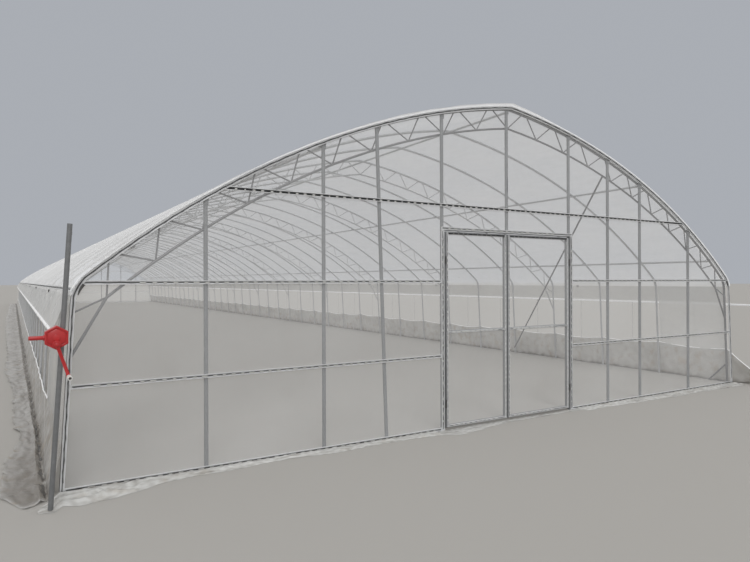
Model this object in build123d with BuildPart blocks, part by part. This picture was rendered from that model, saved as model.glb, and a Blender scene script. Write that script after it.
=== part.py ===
from build123d import *
from math import sin, cos, tan, asin, atan2, radians, degrees, sqrt, hypot, pi
import os

os.makedirs("parts", exist_ok=True)

# Polytunnel greenhouse as a 1:2 scale model, in millimetres.
# X runs across the tunnel, Y along it with the doors at the -Y end, Z is up.
# The origin is the middle of the footprint on the ground.

# Main sizes
bay = 577.5
bays = 40
half_span = 2325.0
eave_height = 790.5
ridge_height = 1811.0
roof_radius = 4345.0
leg_lean = 3.16
shoulder_radius = 150.0
roof_steps = 4
truss_every = 3

# Sides of the round pieces
round_sides = 12
small_sides = 8

# Steel sizes
arch_tube = 16.0
chord_tube = 12.0
web_rod = 8.0
truss_depth = 120.0
front_panels = 10
inner_panels = 4
web_pair = 20.0
chord_foot = 500.0
web_foot = 680.0
purlin_tube = 14.0
high_purlin_past = 0.052
low_purlin_short = 0.34
post_tube = 19.0
brace_tube = 12.0
brace_top_x = 850.0
brace_bays = 4
brace_foot_z = 60.0
strut_high = 145.0
strut_long = 143.0

# Film and lock channels
film = 2.0
gap = 0.3
channel_high = 16.0
channel_deep = 8.0
film_hem = 4.0
roof_past_turn = 0.8
channel_on_post = 0.75
curtain_ease = 0.2

# End wall posts and rails
outer_post_x = 1765.0
middle_post_x = 1202.5
inner_post_x = 867.5
leaning_foot_x = 850.0
leaning_head_x = 905.0
centre_post_x = -25.0
lower_rail = 400.0
eave_rail_lift = 9.5
upper_rail_lift = 136.0
flap_wide = 75.0

# Doorway and leaves
door_post_x = 495.0
door_height = 1074.0
side_gap = 6.0
head_gap = 5.0
foot_gap = 10.0
meet_x = -35.0
meet_gap = 6.0
leaf_tube = 15.0
leaf_rail = 525.0
leaf_channel_wide = 9.5
leaf_channel_deep = 6.0

# Hinges
hinge_low = 140.0
hinge_drop = 159.0
knuckle_radius = 5.0
knuckle_high = 20.0
knuckle_stand = 2.0
pin_radius = 2.5
pin_play = 0.08
leaf_plate = 5.0
plate_thick = 5.0
tongue_thick = 3.0

# Side films
roll_drop = 180.5
roll_radius = 10.0
roll_sides = 10
roll_past_end = 48.0
skirt_left_top = 170.0
skirt_right_top = 250.0
skirt_lap = 170.0
left_corner_bays = 2
right_corner_bays = 1

# Guide posts and winders
guide_radius = 9.0
guide_forward = 205.0
guide_out = 38.0
guide_lean = 64.0
guide_high = 1012.0
beside_guide = 1.3
box_flat = 73.0
box_deep = 45.0
cap_radius = 12.0
cap_high = 4.0
crank_drop = 23.0
boss_radius = 14.0
boss_high = 10.0
shaft_radius = 6.0
shaft_play = 0.08
shaft_end_gap = 2.0
stub_long = 48.0
stub_radius = 7.5
arm_gap = 1.0
crank_long = 117.0
crank_angle = 18.0
crank_wide = 12.0
crank_thick = 8.0
crank_eye = 9.0
grip_pin = 4.0
grip_pin_long = 42.0
grip_radius = 8.5
grip_long = 52.0

# Places worked out from the sizes
lean = radians(leg_lean)
length = bay * bays
box_reach = guide_forward + guide_radius + gap + box_deep + boss_high
front_reach = box_reach + arm_gap + crank_thick + gap + grip_long
y_mid = (front_reach - roll_past_end) / 2
y_front = y_mid - length / 2
y_back = y_mid + length / 2
post_front = y_front - arch_tube / 2 - gap - post_tube
post_mid = post_front + post_tube / 2
film_back = post_front - gap
film_front = film_back - film
rail_back = film_front - gap
rail_front = rail_back - channel_deep
end_reach = y_front - rail_front + film_hem
back_post_mid = y_back + arch_tube / 2 + gap + post_tube / 2
back_film_out = back_post_mid + post_tube / 2 + gap + film
back_rail_out = back_film_out + gap + channel_deep
door_jamb = door_post_x - post_tube / 2
post_outside = door_post_x + post_tube / 2
header_top = door_height + post_tube
eave_rail = eave_height + eave_rail_lift
roll_height = eave_height - roll_drop
upper_rail = door_height + upper_rail_lift

# Centre of the roof arc, through the ridge and the corner where arc and leg would meet
corner_x = half_span - eave_height * tan(lean)
slope_long = hypot(corner_x, ridge_height - eave_height)
arc_away = sqrt(roof_radius ** 2 - slope_long ** 2 / 4)
roof_cx = corner_x / 2 - arc_away * (ridge_height - eave_height) / slope_long
roof_cz = (ridge_height + eave_height) / 2 - arc_away * corner_x / slope_long


def roof_point(angle, radius):
    """Point on the right slope, its angle taken from the vertical at the arc's centre."""
    return (roof_cx + radius * sin(angle), roof_cz + radius * cos(angle))


def shoulder_centre():
    """Centre of the bend that touches both the leg and the roof arc from inside."""
    reach = half_span * cos(lean) - shoulder_radius
    base_x = reach * cos(lean)
    base_z = reach * sin(lean)
    b = (base_z - roof_cz) * cos(lean) - (base_x - roof_cx) * sin(lean)
    c = (base_x - roof_cx) ** 2 + (base_z - roof_cz) ** 2 - (roof_radius - shoulder_radius) ** 2
    up = -b + sqrt(b * b - c)
    return (base_x - up * sin(lean), base_z + up * cos(lean))


bend_x, bend_z = shoulder_centre()
angle_top = asin(-roof_cx / roof_radius)
angle_eave = atan2(bend_x - roof_cx, bend_z - roof_cz)
angle_leg = pi / 2 - lean


def arch_line():
    """Right half of the outside line of an arch, from the ridge to the ground."""
    step = (angle_eave - angle_top) / roof_steps
    pts = [roof_point(angle_top + step * i, roof_radius) for i in range(roof_steps + 1)]
    for a in ((angle_eave + angle_leg) / 2, angle_leg):
        pts.append((bend_x + shoulder_radius * sin(a), bend_z + shoulder_radius * cos(a)))
    pts.append((half_span, 0.0))
    return pts


def shifted(pts, d):
    """A half line moved outward by d with mitred corners, its end kept at its height."""
    full = [(-pts[1][0], pts[1][1])] + list(pts)
    out = []
    for i in range(1, len(full)):
        x0, z0 = full[i - 1]
        x1, z1 = full[i]
        n = hypot(x1 - x0, z1 - z0)
        before = ((z0 - z1) / n, (x1 - x0) / n)
        if i + 1 == len(full):
            out.append((x1 + d / before[0], z1))
            continue
        x2, z2 = full[i + 1]
        m = hypot(x2 - x1, z2 - z1)
        after = ((z1 - z2) / m, (x2 - x1) / m)
        k = d / (1 + before[0] * after[0] + before[1] * after[1])
        out.append((x1 + k * (before[0] + after[0]), z1 + k * (before[1] + after[1])))
    return out


def whole(pts):
    """Both halves of a line, from the left end over the ridge to the right end."""
    return [(-x, z) for x, z in reversed(pts)][:-1] + list(pts)


def band(inner, outer):
    """Closed outline between two half lines."""
    return whole(outer) + list(reversed(whole(inner)))


def cut_at(pts, z_stop):
    """A half line that stops at a height on its way down."""
    out = [pts[0]]
    for (x0, z0), (x1, z1) in zip(pts[:-1], pts[1:]):
        if z1 <= z_stop:
            out.append((x0 + (z0 - z_stop) / (z0 - z1) * (x1 - x0), z_stop))
            return out
        out.append((x1, z1))
    return out


def width_at(pts, z):
    """How far out a half line is at a height."""
    return cut_at(pts, z)[-1][0]


def bar(p, q, w):
    """Outline of a straight bar of width w between two points."""
    n = hypot(q[0] - p[0], q[1] - p[1])
    ux = (q[0] - p[0]) / n * w / 2
    uz = (q[1] - p[1]) / n * w / 2
    return [(p[0] - uz, p[1] + ux), (q[0] - uz, q[1] + ux), (q[0] + uz, q[1] - ux), (p[0] + uz, p[1] - ux)]


def flip(pts, side):
    """An outline on the right side, or its mirror on the left for side -1."""
    return [(side * x, z) for x, z in pts]


def upright(y):
    """A drawing plane across the tunnel at y: its x is X, its y is Z, it faces -Y."""
    return Plane(origin=(0, y, 0), x_dir=(1, 0, 0), z_dir=(0, -1, 0))


line = arch_line()
line_in = shifted(line, -arch_tube)
arch_outline = band(line_in, line)
leg_mid = shifted(line, -arch_tube / 2)

# Lattice under an arch: an inner chord, and rods that zigzag between chord and arch
chord_radius = roof_radius - truss_depth
chord_start = asin(-roof_cx / chord_radius)
facet = (angle_eave - angle_top) / roof_steps


def arch_reach(angle):
    """How far the straight pieces of an arch lie from the arc's centre at an angle."""
    piece = int((angle - angle_top) / facet)
    return roof_radius * cos(facet / 2) / cos(angle - angle_top - facet * (piece + 0.5))


def rod_tip(angle):
    """End of a rod in the middle of the arch tube."""
    return roof_point(angle, arch_reach(angle) - arch_tube / 2)


def chord_angles(panels):
    return [chord_start + (angle_eave - chord_start) * i / panels for i in range(panels + 1)]


def chord_outline(panels):
    pts = [roof_point(a, chord_radius) for a in chord_angles(panels)]
    pts.append((width_at(leg_mid, chord_foot), chord_foot))
    return band(shifted(pts, -chord_tube / 2), shifted(pts, chord_tube / 2))


def web_outlines(panels, pair):
    out = []
    angles = chord_angles(panels)
    for a, b in zip(angles[:-1], angles[1:]):
        middle = (a + b) / 2
        part = pair / roof_radius
        out.append(bar(roof_point(a, chord_radius), rod_tip(middle - part), web_rod))
        out.append(bar(roof_point(b, chord_radius), rod_tip(middle + part), web_rod))
    return out


leg_rod = bar(roof_point(angle_eave, chord_radius), (width_at(leg_mid, web_foot), web_foot), web_rod)


# Front arch with its close lattice
with BuildPart() as front_truss:
    with BuildSketch(upright(y_front)):
        Polygon(*arch_outline, align=None)
    extrude(amount=arch_tube / 2, both=True)
    with BuildSketch(upright(y_front)):
        Polygon(*chord_outline(front_panels), align=None)
        for rod in web_outlines(front_panels, web_pair) + [leg_rod]:
            Polygon(*rod, align=None)
            Polygon(*flip(rod, -1), align=None)
    extrude(amount=chord_tube / 2, both=True)
front_truss.part.label = "front_truss"

# Back arch with a wider lattice, all of it as deep as the arch
with BuildPart() as back_truss:
    with BuildSketch(upright(y_back)):
        Polygon(*arch_outline, align=None)
        Polygon(*chord_outline(inner_panels), align=None)
        for rod in web_outlines(inner_panels, 0.0):
            Polygon(*rod, align=None)
            Polygon(*flip(rod, -1), align=None)
    extrude(amount=arch_tube / 2, both=True)
back_truss.part.label = "back_truss"

# Lattice arches between them, every third arch, in two halves of the tunnel
truss_at = [i for i in range(1, bays) if i % truss_every == 0]
half_trusses = len(truss_at) // 2

with BuildPart() as truss_arches_front:
    with Locations(*[(0, bay * i - length, 0) for i in truss_at[:half_trusses]]):
        add(back_truss.part)
truss_arches_front.part.label = "truss_arches_front"

with BuildPart() as truss_arches_back:
    with Locations(*[(0, bay * i - length, 0) for i in truss_at[half_trusses:]]):
        add(back_truss.part)
truss_arches_back.part.label = "truss_arches_back"

# Plain arches between the lattice arches
plain_at = [i for i in range(1, bays) if i % truss_every != 0]
half_plain = len(plain_at) // 2

with BuildPart() as plain_arches_front:
    for i in plain_at[:half_plain]:
        with BuildSketch(upright(y_front + bay * i)):
            Polygon(*arch_outline, align=None)
    extrude(amount=arch_tube / 2, both=True)
plain_arches_front.part.label = "plain_arches_front"

with BuildPart() as plain_arches_back:
    for i in plain_at[half_plain:]:
        with BuildSketch(upright(y_front + bay * i)):
            Polygon(*arch_outline, align=None)
    extrude(amount=arch_tube / 2, both=True)
plain_arches_back.part.label = "plain_arches_back"

# Purlins along the tunnel, close under the arches
purlin_drop = arch_tube + gap + purlin_tube / 2
high_purlin = (inner_panels // 2 + high_purlin_past) / inner_panels
low_purlin = 1 - low_purlin_short / inner_panels


def under_arch(share):
    """Point close under the arch at a share of the slope, and the tilt of the arch there."""
    angle = angle_top + (angle_eave - angle_top) * share
    middle = angle_top + facet * (int(share * roof_steps) + 0.5)
    flat = roof_radius * cos(facet / 2) - purlin_drop
    return roof_point(angle, flat / cos(angle - middle)), degrees(middle)


ridge_tilt = angle_top + facet / 2
ridge_drop = (arch_tube + gap) / cos(ridge_tilt) + purlin_tube / 2 * (1 + tan(ridge_tilt))

with BuildPart() as ridge_purlin:
    with BuildSketch(upright(y_mid)):
        with Locations((0, ridge_height - ridge_drop)):
            Rectangle(purlin_tube, purlin_tube)
    extrude(amount=length / 2, both=True)
ridge_purlin.part.label = "ridge_purlin"

with BuildPart() as roof_purlins:
    with BuildSketch(upright(y_mid)):
        for share in (high_purlin, low_purlin):
            spot, tilt = under_arch(share)
            for side in (-1, 1):
                with Locations(Location((side * spot[0], spot[1], 0), (0, 0, -side * tilt))):
                    Rectangle(purlin_tube, purlin_tube)
    extrude(amount=length / 2, both=True)
roof_purlins.part.label = "roof_purlins"

# Roof film, one sheet over every arch, down to the turn of the shoulder
roof_in = shifted(line, gap)
roof_out = shifted(line, gap + film)
roof_stop = roof_in[-3][1] + roof_past_turn * (roof_in[-2][1] - roof_in[-3][1])

with BuildPart() as roof_film:
    with BuildSketch(upright(y_mid)):
        Polygon(*band(cut_at(roof_in, roof_stop), cut_at(roof_out, roof_stop)), align=None)
    extrude(amount=length / 2 + end_reach, both=True)
roof_film.part.label = "roof_film"

# Eave channels, flat on the film where the shoulder turns down
eave_line = shifted(line, gap + film + gap)
eave_a = eave_line[-3]
eave_b = eave_line[-2]
eave_long = hypot(eave_b[0] - eave_a[0], eave_b[1] - eave_a[1])
down = ((eave_b[0] - eave_a[0]) / eave_long, (eave_b[1] - eave_a[1]) / eave_long)
out_x = (eave_a[0] + eave_b[0]) / 2 - down[1] * channel_deep / 2
out_z = (eave_a[1] + eave_b[1]) / 2 + down[0] * channel_deep / 2
eave_tilt = degrees(atan2(down[0], -down[1]))

with BuildPart() as eave_channels:
    with BuildSketch(upright(y_mid)):
        for side in (-1, 1):
            with Locations(Location((side * out_x, out_z, 0), (0, 0, side * eave_tilt))):
                Rectangle(channel_deep, channel_high)
    extrude(amount=length / 2 + arch_tube, both=True)
eave_channels.part.label = "eave_channels"


# Guide posts in front of the corners, leaning in
def guide_x(z):
    return half_span + guide_out - guide_lean * z / guide_high


guide_tilt = atan2(guide_lean, guide_high)
guide_y = y_front - guide_forward
guide_root = guide_radius * 2
guide_plane = Plane(
    origin=(-guide_x(0), guide_y, 0), x_dir=(0, 1, 0), z_dir=(sin(guide_tilt), 0, cos(guide_tilt))
)

with BuildPart() as guide_posts:
    with BuildSketch(guide_plane.offset(-guide_root)):
        RegularPolygon(guide_radius, round_sides)
    extrude(amount=guide_high / cos(guide_tilt) + guide_root)
    split(bisect_by=Plane.XY, keep=Keep.TOP)
    mirror(about=Plane.YZ)
guide_posts.part.label = "guide_posts"

# Roll tubes beside the guide posts, with the side curtains that hang to them
roll_x = guide_x(roll_height) + guide_radius + roll_radius + beside_guide
box_back = guide_y - guide_radius - gap
box_front = box_back - box_deep
roll_end = y_back + roll_past_end
roll_flat = roll_radius * cos(pi / roll_sides)

with BuildPart() as left_roll_tube:
    with BuildSketch(upright(roll_end)):
        with Locations((-roll_x, roll_height)):
            RegularPolygon(roll_radius, roll_sides)
    extrude(amount=roll_end - box_back - gap)
left_roll_tube.part.label = "left_roll_tube"

with BuildPart() as right_roll_tube:
    mirror(left_roll_tube.part, about=Plane.YZ)
right_roll_tube.part.label = "right_roll_tube"

hang = channel_high / 2 + gap + curtain_ease
curtain_top = (out_x + down[0] * hang, out_z + down[1] * hang)
curtain_foot = (roll_x, roll_height + roll_flat + gap + 2 * curtain_ease)
side_run = length / 2 - arch_tube

with BuildPart() as left_curtain:
    with BuildSketch(upright(y_mid)):
        Polygon(*flip(bar(curtain_top, curtain_foot, film), -1), align=None)
    extrude(amount=side_run, both=True)
left_curtain.part.label = "left_curtain"

with BuildPart() as right_curtain:
    mirror(left_curtain.part, about=Plane.YZ)
right_curtain.part.label = "right_curtain"

# Skirts: a low wall of film on the legs, with its foot spread on the ground
side_in = shifted(line, gap)
side_out = shifted(line, gap + film)


def skirt_outline(top):
    foot_in = side_in[-1][0]
    return [
        (foot_in, 0.0),
        (width_at(side_in, top), top),
        (width_at(side_out, top), top),
        (width_at(side_out, film), film),
        (foot_in + skirt_lap, film),
        (foot_in + skirt_lap, 0.0),
    ]


with BuildPart() as left_skirt:
    with BuildSketch(upright(y_mid)):
        Polygon(*flip(skirt_outline(skirt_left_top), -1), align=None)
    extrude(amount=side_run, both=True)
left_skirt.part.label = "left_skirt"

with BuildPart() as right_skirt:
    with BuildSketch(upright(y_mid)):
        Polygon(*skirt_outline(skirt_right_top), align=None)
    extrude(amount=side_run, both=True)
right_skirt.part.label = "right_skirt"


# Corner films: fixed film above the skirts on the first bays behind the front wall
def corner_outline(skirt_top):
    low = skirt_top + gap
    high = roof_stop - gap
    return [
        (width_at(side_in, low), low),
        side_in[-2],
        (width_at(side_in, high), high),
        (width_at(side_out, high), high),
        side_out[-2],
        (width_at(side_out, low), low),
    ]


with BuildPart() as corner_films:
    with BuildSketch(upright(y_front + bay * left_corner_bays)):
        Polygon(*flip(corner_outline(skirt_left_top), -1), align=None)
    extrude(amount=bay * left_corner_bays - arch_tube)
    with BuildSketch(upright(y_front + bay * right_corner_bays)):
        Polygon(*corner_outline(skirt_right_top), align=None)
    extrude(amount=bay * right_corner_bays - arch_tube)
corner_films.part.label = "corner_films"

# End wall posts, cut to the arch
wall_line = shifted(line, -gap)
wall_outline = whole(wall_line)


def post_outline(x):
    return bar((x, -post_tube), (x, ridge_height), post_tube)


with BuildPart() as front_posts:
    with BuildSketch(upright(post_mid)):
        for x in (-outer_post_x, -middle_post_x, inner_post_x, middle_post_x, outer_post_x):
            Polygon(*post_outline(x), align=None)
        Polygon(*bar((-leaning_foot_x, 0.0), (-leaning_head_x, ridge_height), post_tube), align=None)
        Polygon(*wall_outline, align=None, mode=Mode.INTERSECT)
    extrude(amount=post_tube / 2, both=True)
front_posts.part.label = "front_posts"

with BuildPart() as door_posts:
    with BuildSketch(upright(post_mid)):
        for x in (-door_post_x, door_post_x):
            Polygon(*post_outline(x), align=None)
        Polygon(*wall_outline, align=None, mode=Mode.INTERSECT)
    extrude(amount=post_tube / 2, both=True)
door_posts.part.label = "door_posts"

with BuildPart() as door_header:
    with BuildSketch(upright(post_mid)):
        with Locations((0, door_height)):
            Rectangle(2 * door_jamb, post_tube, align=(Align.CENTER, Align.MIN))
    extrude(amount=post_tube / 2, both=True)
door_header.part.label = "door_header"

with BuildPart() as centre_post:
    with BuildSketch(upright(post_mid)):
        with Locations((centre_post_x, header_top)):
            Rectangle(post_tube, ridge_height, align=(Align.CENTER, Align.MIN))
        Polygon(*wall_outline, align=None, mode=Mode.INTERSECT)
    extrude(amount=post_tube / 2, both=True)
centre_post.part.label = "centre_post"

with BuildPart() as back_posts:
    with BuildSketch(upright(back_post_mid)):
        for x in (door_post_x, middle_post_x, outer_post_x):
            Polygon(*post_outline(x), align=None)
            Polygon(*post_outline(-x), align=None)
        Polygon(*wall_outline, align=None, mode=Mode.INTERSECT)
    extrude(amount=post_tube / 2, both=True)
back_posts.part.label = "back_posts"

# End wall films: beside the doorway, over it, and one sheet at the back
over_door = door_height + post_tube / 2

with BuildPart() as front_film_left:
    with BuildSketch(upright(film_back)):
        Polygon(*wall_outline, align=None)
        with Locations((-door_post_x, 0)):
            Rectangle(half_span, ridge_height, align=(Align.MAX, Align.MIN), mode=Mode.INTERSECT)
    extrude(amount=film)
front_film_left.part.label = "front_film_left"

with BuildPart() as front_film_right:
    mirror(front_film_left.part, about=Plane.YZ)
front_film_right.part.label = "front_film_right"

with BuildPart() as front_film_over_door:
    with BuildSketch(upright(film_back)):
        Polygon(*wall_outline, align=None)
        with Locations((0, over_door)):
            Rectangle(2 * door_post_x, ridge_height, align=(Align.CENTER, Align.MIN), mode=Mode.INTERSECT)
    extrude(amount=film)
front_film_over_door.part.label = "front_film_over_door"

with BuildPart() as back_film:
    with BuildSketch(upright(back_film_out)):
        Polygon(*wall_outline, align=None)
    extrude(amount=film)
back_film.part.label = "back_film"

# Lock channels that clamp the film on the end walls
arch_channel_outline = band(shifted(line, -gap - channel_high), wall_line)
rail_stop = shifted(line, -2 * gap - channel_high)


def rail_outline(z, start):
    """Channel from start out to the arch channel, centred on a height."""
    low = z - channel_high / 2
    high = z + channel_high / 2
    return [(start, low), (width_at(rail_stop, low), low), (width_at(rail_stop, high), high), (start, high)]


with BuildPart() as front_arch_channel:
    with BuildSketch(upright(rail_back)):
        Polygon(*arch_channel_outline, align=None)
    extrude(amount=channel_deep)
front_arch_channel.part.label = "front_arch_channel"

surround_in = post_outside - channel_high * channel_on_post
surround_out = surround_in + channel_high
surround_mid = (surround_in + surround_out) / 2

with BuildPart() as front_rails:
    with BuildSketch(upright(rail_back)):
        for side in (-1, 1):
            for z in (channel_high / 2, lower_rail, eave_rail):
                Polygon(*flip(rail_outline(z, surround_out + gap), side), align=None)
            Polygon(*flip(rail_outline(upper_rail, 0.0), side), align=None)
    extrude(amount=channel_deep)
front_rails.part.label = "front_rails"

with BuildPart() as door_channels:
    with BuildSketch(upright(rail_back)):
        with Locations((-surround_mid, header_top / 2), (surround_mid, header_top / 2)):
            Rectangle(channel_high, header_top)
        with Locations((0, header_top - channel_high / 2)):
            Rectangle(2 * surround_out, channel_high)
    extrude(amount=channel_deep)
door_channels.part.label = "door_channels"

with BuildPart() as back_rails:
    with BuildSketch(upright(back_rail_out)):
        for z in (channel_high / 2, lower_rail, eave_rail, upper_rail):
            for side in (-1, 1):
                Polygon(*flip(rail_outline(z, 0.0), side), align=None)
    extrude(amount=channel_deep)
back_rails.part.label = "back_rails"

with BuildPart() as back_arch_channel:
    with BuildSketch(upright(back_rail_out)):
        Polygon(*arch_channel_outline, align=None)
    extrude(amount=channel_deep)
back_arch_channel.part.label = "back_arch_channel"

# Loose hem of the front film on the ground, on under the leaves
with BuildPart() as ground_flap:
    with Locations((0, rail_front - gap, 0)):
        Box(2 * half_span, flap_wide, film, align=(Align.CENTER, Align.MAX, Align.MIN))
ground_flap.part.label = "ground_flap"

# Door leaves: tube frame with a middle rail, film, and channels over the film
leaf_out = door_jamb - side_gap
leaf_top = door_height - head_gap
leaf_high = leaf_top - foot_gap
leaf_back = post_front + leaf_tube
low_light = leaf_rail - leaf_tube / 2 - (foot_gap + leaf_tube)
high_light = leaf_top - leaf_tube - (leaf_rail + leaf_tube / 2)
left_in = meet_x - meet_gap / 2
right_in = meet_x + meet_gap / 2
left_wide = left_in + leaf_out
right_wide = leaf_out - right_in
left_mid = (left_in - leaf_out) / 2
right_mid = (right_in + leaf_out) / 2
hem = leaf_plate + gap


def leaf_frame(middle, wide):
    with Locations((middle, foot_gap)):
        Rectangle(wide, leaf_high, align=(Align.CENTER, Align.MIN))
    light = wide - 2 * leaf_tube
    with Locations((middle, foot_gap + leaf_tube)):
        Rectangle(light, low_light, align=(Align.CENTER, Align.MIN), mode=Mode.SUBTRACT)
    with Locations((middle, leaf_rail + leaf_tube / 2)):
        Rectangle(light, high_light, align=(Align.CENTER, Align.MIN), mode=Mode.SUBTRACT)


def leaf_film(middle, wide):
    with Locations((middle, foot_gap + leaf_high / 2)):
        Rectangle(wide - 2 * hem, leaf_high - 2 * hem)


def leaf_channel(middle, wide):
    w = leaf_channel_wide
    with Locations((middle, foot_gap + leaf_high / 2)):
        Rectangle(wide - 2 * hem, leaf_high - 2 * hem)
        Rectangle(wide - 2 * hem - 2 * w, leaf_high - 2 * hem - 2 * w, mode=Mode.SUBTRACT)
    with Locations((middle, leaf_rail)):
        Rectangle(wide - 2 * hem - w, w)


with BuildPart() as left_door_frame:
    with BuildSketch(upright(leaf_back)):
        leaf_frame(left_mid, left_wide)
    extrude(amount=leaf_tube)
left_door_frame.part.label = "left_door_frame"

with BuildPart() as right_door_frame:
    with BuildSketch(upright(leaf_back)):
        leaf_frame(right_mid, right_wide)
    extrude(amount=leaf_tube)
right_door_frame.part.label = "right_door_frame"

with BuildPart() as left_door_film:
    with BuildSketch(upright(film_back)):
        leaf_film(left_mid, left_wide)
    extrude(amount=film)
left_door_film.part.label = "left_door_film"

with BuildPart() as right_door_film:
    with BuildSketch(upright(film_back)):
        leaf_film(right_mid, right_wide)
    extrude(amount=film)
right_door_film.part.label = "right_door_film"

with BuildPart() as left_door_channel:
    with BuildSketch(upright(rail_back)):
        leaf_channel(left_mid, left_wide)
    extrude(amount=leaf_channel_deep)
left_door_channel.part.label = "left_door_channel"

with BuildPart() as right_door_channel:
    with BuildSketch(upright(rail_back)):
        leaf_channel(right_mid, right_wide)
    extrude(amount=leaf_channel_deep)
right_door_channel.part.label = "right_door_channel"

# Hinges: a pin stands on the post's knuckle, and the leaf's knuckle drops over it
hinge_x = door_jamb - side_gap / 2
hinge_y = post_front - knuckle_radius - knuckle_stand
hinge_levels = (hinge_low, door_height - hinge_drop)
post_plate = surround_in - gap - door_jamb
lift = 2 * gap
sleeve_high = knuckle_high - lift
tongue_y = hinge_y + knuckle_stand

with BuildPart() as post_hinges:
    for z in hinge_levels:
        with BuildSketch(Plane.XY.offset(z - knuckle_high)):
            with Locations((hinge_x, hinge_y)):
                RegularPolygon(knuckle_radius, small_sides)
            with Locations((door_jamb + post_plate / 2, post_front)):
                Rectangle(post_plate, plate_thick, align=(Align.CENTER, Align.MAX))
            with Locations(((hinge_x + door_jamb) / 2 + post_plate / 4, tongue_y)):
                Rectangle(side_gap / 2 + post_plate / 2, tongue_thick)
        extrude(amount=knuckle_high)
        with BuildSketch(Plane.XY.offset(z)):
            with Locations((hinge_x, hinge_y)):
                RegularPolygon(pin_radius, round_sides)
        extrude(amount=knuckle_high)
    mirror(about=Plane.YZ)
post_hinges.part.label = "post_hinges"

with BuildPart() as left_leaf_hinges:
    for z in hinge_levels:
        with BuildSketch(Plane.XY.offset(z + lift)):
            with Locations((-hinge_x, hinge_y)):
                RegularPolygon(knuckle_radius, small_sides)
            with Locations((-leaf_out + leaf_plate / 2, post_front)):
                Rectangle(leaf_plate, plate_thick, align=(Align.CENTER, Align.MAX))
            with Locations((-(hinge_x + leaf_out) / 2 + leaf_plate / 4, tongue_y)):
                Rectangle(side_gap / 2 + leaf_plate / 2, tongue_thick)
            with Locations((-hinge_x, hinge_y)):
                RegularPolygon(pin_radius + pin_play, round_sides, major_radius=False, mode=Mode.SUBTRACT)
        extrude(amount=sleeve_high)
left_leaf_hinges.part.label = "left_leaf_hinges"

with BuildPart() as right_leaf_hinges:
    mirror(left_leaf_hinges.part, about=Plane.YZ)
right_leaf_hinges.part.label = "right_leaf_hinges"

# Winders: a hexagonal box with a cap, a boss low down for the crank, and a stub outward
crank_z = roll_height - crank_drop
bore_deep = boss_high + box_deep / 2
stub_root = stub_radius

with BuildPart() as left_winder_box:
    with BuildSketch(upright(box_back)):
        with Locations((-roll_x, roll_height)):
            RegularPolygon(box_flat / 2, 6, major_radius=False)
    extrude(amount=box_deep)
    with BuildSketch(upright(box_front)):
        with Locations((-roll_x, roll_height)):
            RegularPolygon(cap_radius, round_sides)
    extrude(amount=cap_high)
    with BuildSketch(upright(box_front)):
        with Locations((-roll_x, crank_z)):
            RegularPolygon(boss_radius, round_sides)
    extrude(amount=boss_high)
    with BuildSketch(upright(box_front - boss_high)):
        with Locations((-roll_x, crank_z)):
            RegularPolygon(shaft_radius + shaft_play, round_sides, major_radius=False)
    extrude(amount=-bore_deep, mode=Mode.SUBTRACT)
    stub_x = -roll_x - box_flat / 2 + stub_root
    with BuildSketch(Plane(origin=(stub_x, (box_front + box_back) / 2, roll_height), z_dir=(-1, 0, 0))):
        RegularPolygon(stub_radius, round_sides)
    extrude(amount=stub_long + stub_root)
left_winder_box.part.label = "left_winder_box"

with BuildPart() as right_winder_box:
    mirror(left_winder_box.part, about=Plane.YZ)
right_winder_box.part.label = "right_winder_box"

# Cranks: a shaft in the boss, an arm, and a pin that carries the grip
arm_back = box_front - boss_high - arm_gap
arm_front = arm_back - crank_thick
crank_a = radians(crank_angle)
crank_hub = (-roll_x, crank_z)
crank_tip = (-roll_x + crank_long * sin(crank_a), crank_z - crank_long * cos(crank_a))

with BuildPart() as left_crank:
    with BuildSketch(upright(arm_back)):
        with Locations(crank_hub, crank_tip):
            RegularPolygon(crank_eye, round_sides)
        Polygon(*bar(crank_hub, crank_tip, crank_wide), align=None)
    extrude(amount=crank_thick)
    with BuildSketch(upright(arm_back)):
        with Locations(crank_hub):
            RegularPolygon(shaft_radius, round_sides)
    extrude(amount=-(arm_gap + bore_deep - shaft_end_gap))
    with BuildSketch(upright(arm_front)):
        with Locations(crank_tip):
            RegularPolygon(grip_pin, small_sides)
    extrude(amount=grip_pin_long)
left_crank.part.label = "left_crank"

with BuildPart() as right_crank:
    mirror(left_crank.part, about=Plane.YZ)
right_crank.part.label = "right_crank"

with BuildPart() as left_grip:
    with BuildSketch(upright(arm_front - gap)):
        with Locations(crank_tip):
            RegularPolygon(grip_radius, round_sides)
            RegularPolygon(grip_pin + gap, small_sides, mode=Mode.SUBTRACT)
    extrude(amount=grip_long)
left_grip.part.label = "left_grip"

with BuildPart() as right_grip:
    mirror(left_grip.part, about=Plane.YZ)
right_grip.part.label = "right_grip"

# Long brace from the front lattice down to the right side wall
brace_angle = asin((brace_top_x - roof_cx) / chord_radius)
brace_head = roof_point(brace_angle, chord_radius)
brace_a = Vector(brace_head[0], y_front, brace_head[1])
brace_b = Vector(width_at(line_in, brace_foot_z), y_front + bay * brace_bays, brace_foot_z)
brace_end = Plane(origin=(line_in[-1][0] - gap, 0, 0), z_dir=(cos(lean), 0, sin(lean)))
brace_start = Plane(origin=(0, y_front + chord_tube / 2 + gap, 0), z_dir=(0, 1, 0))

with BuildPart() as diagonal_braces:
    with BuildSketch(Plane(origin=brace_a, z_dir=brace_b - brace_a)):
        Rectangle(brace_tube, brace_tube)
    extrude(amount=(brace_b - brace_a).length + brace_tube)
    split(bisect_by=brace_end, keep=Keep.BOTTOM)
    split(bisect_by=brace_start, keep=Keep.TOP)
diagonal_braces.part.label = "diagonal_braces"

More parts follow.
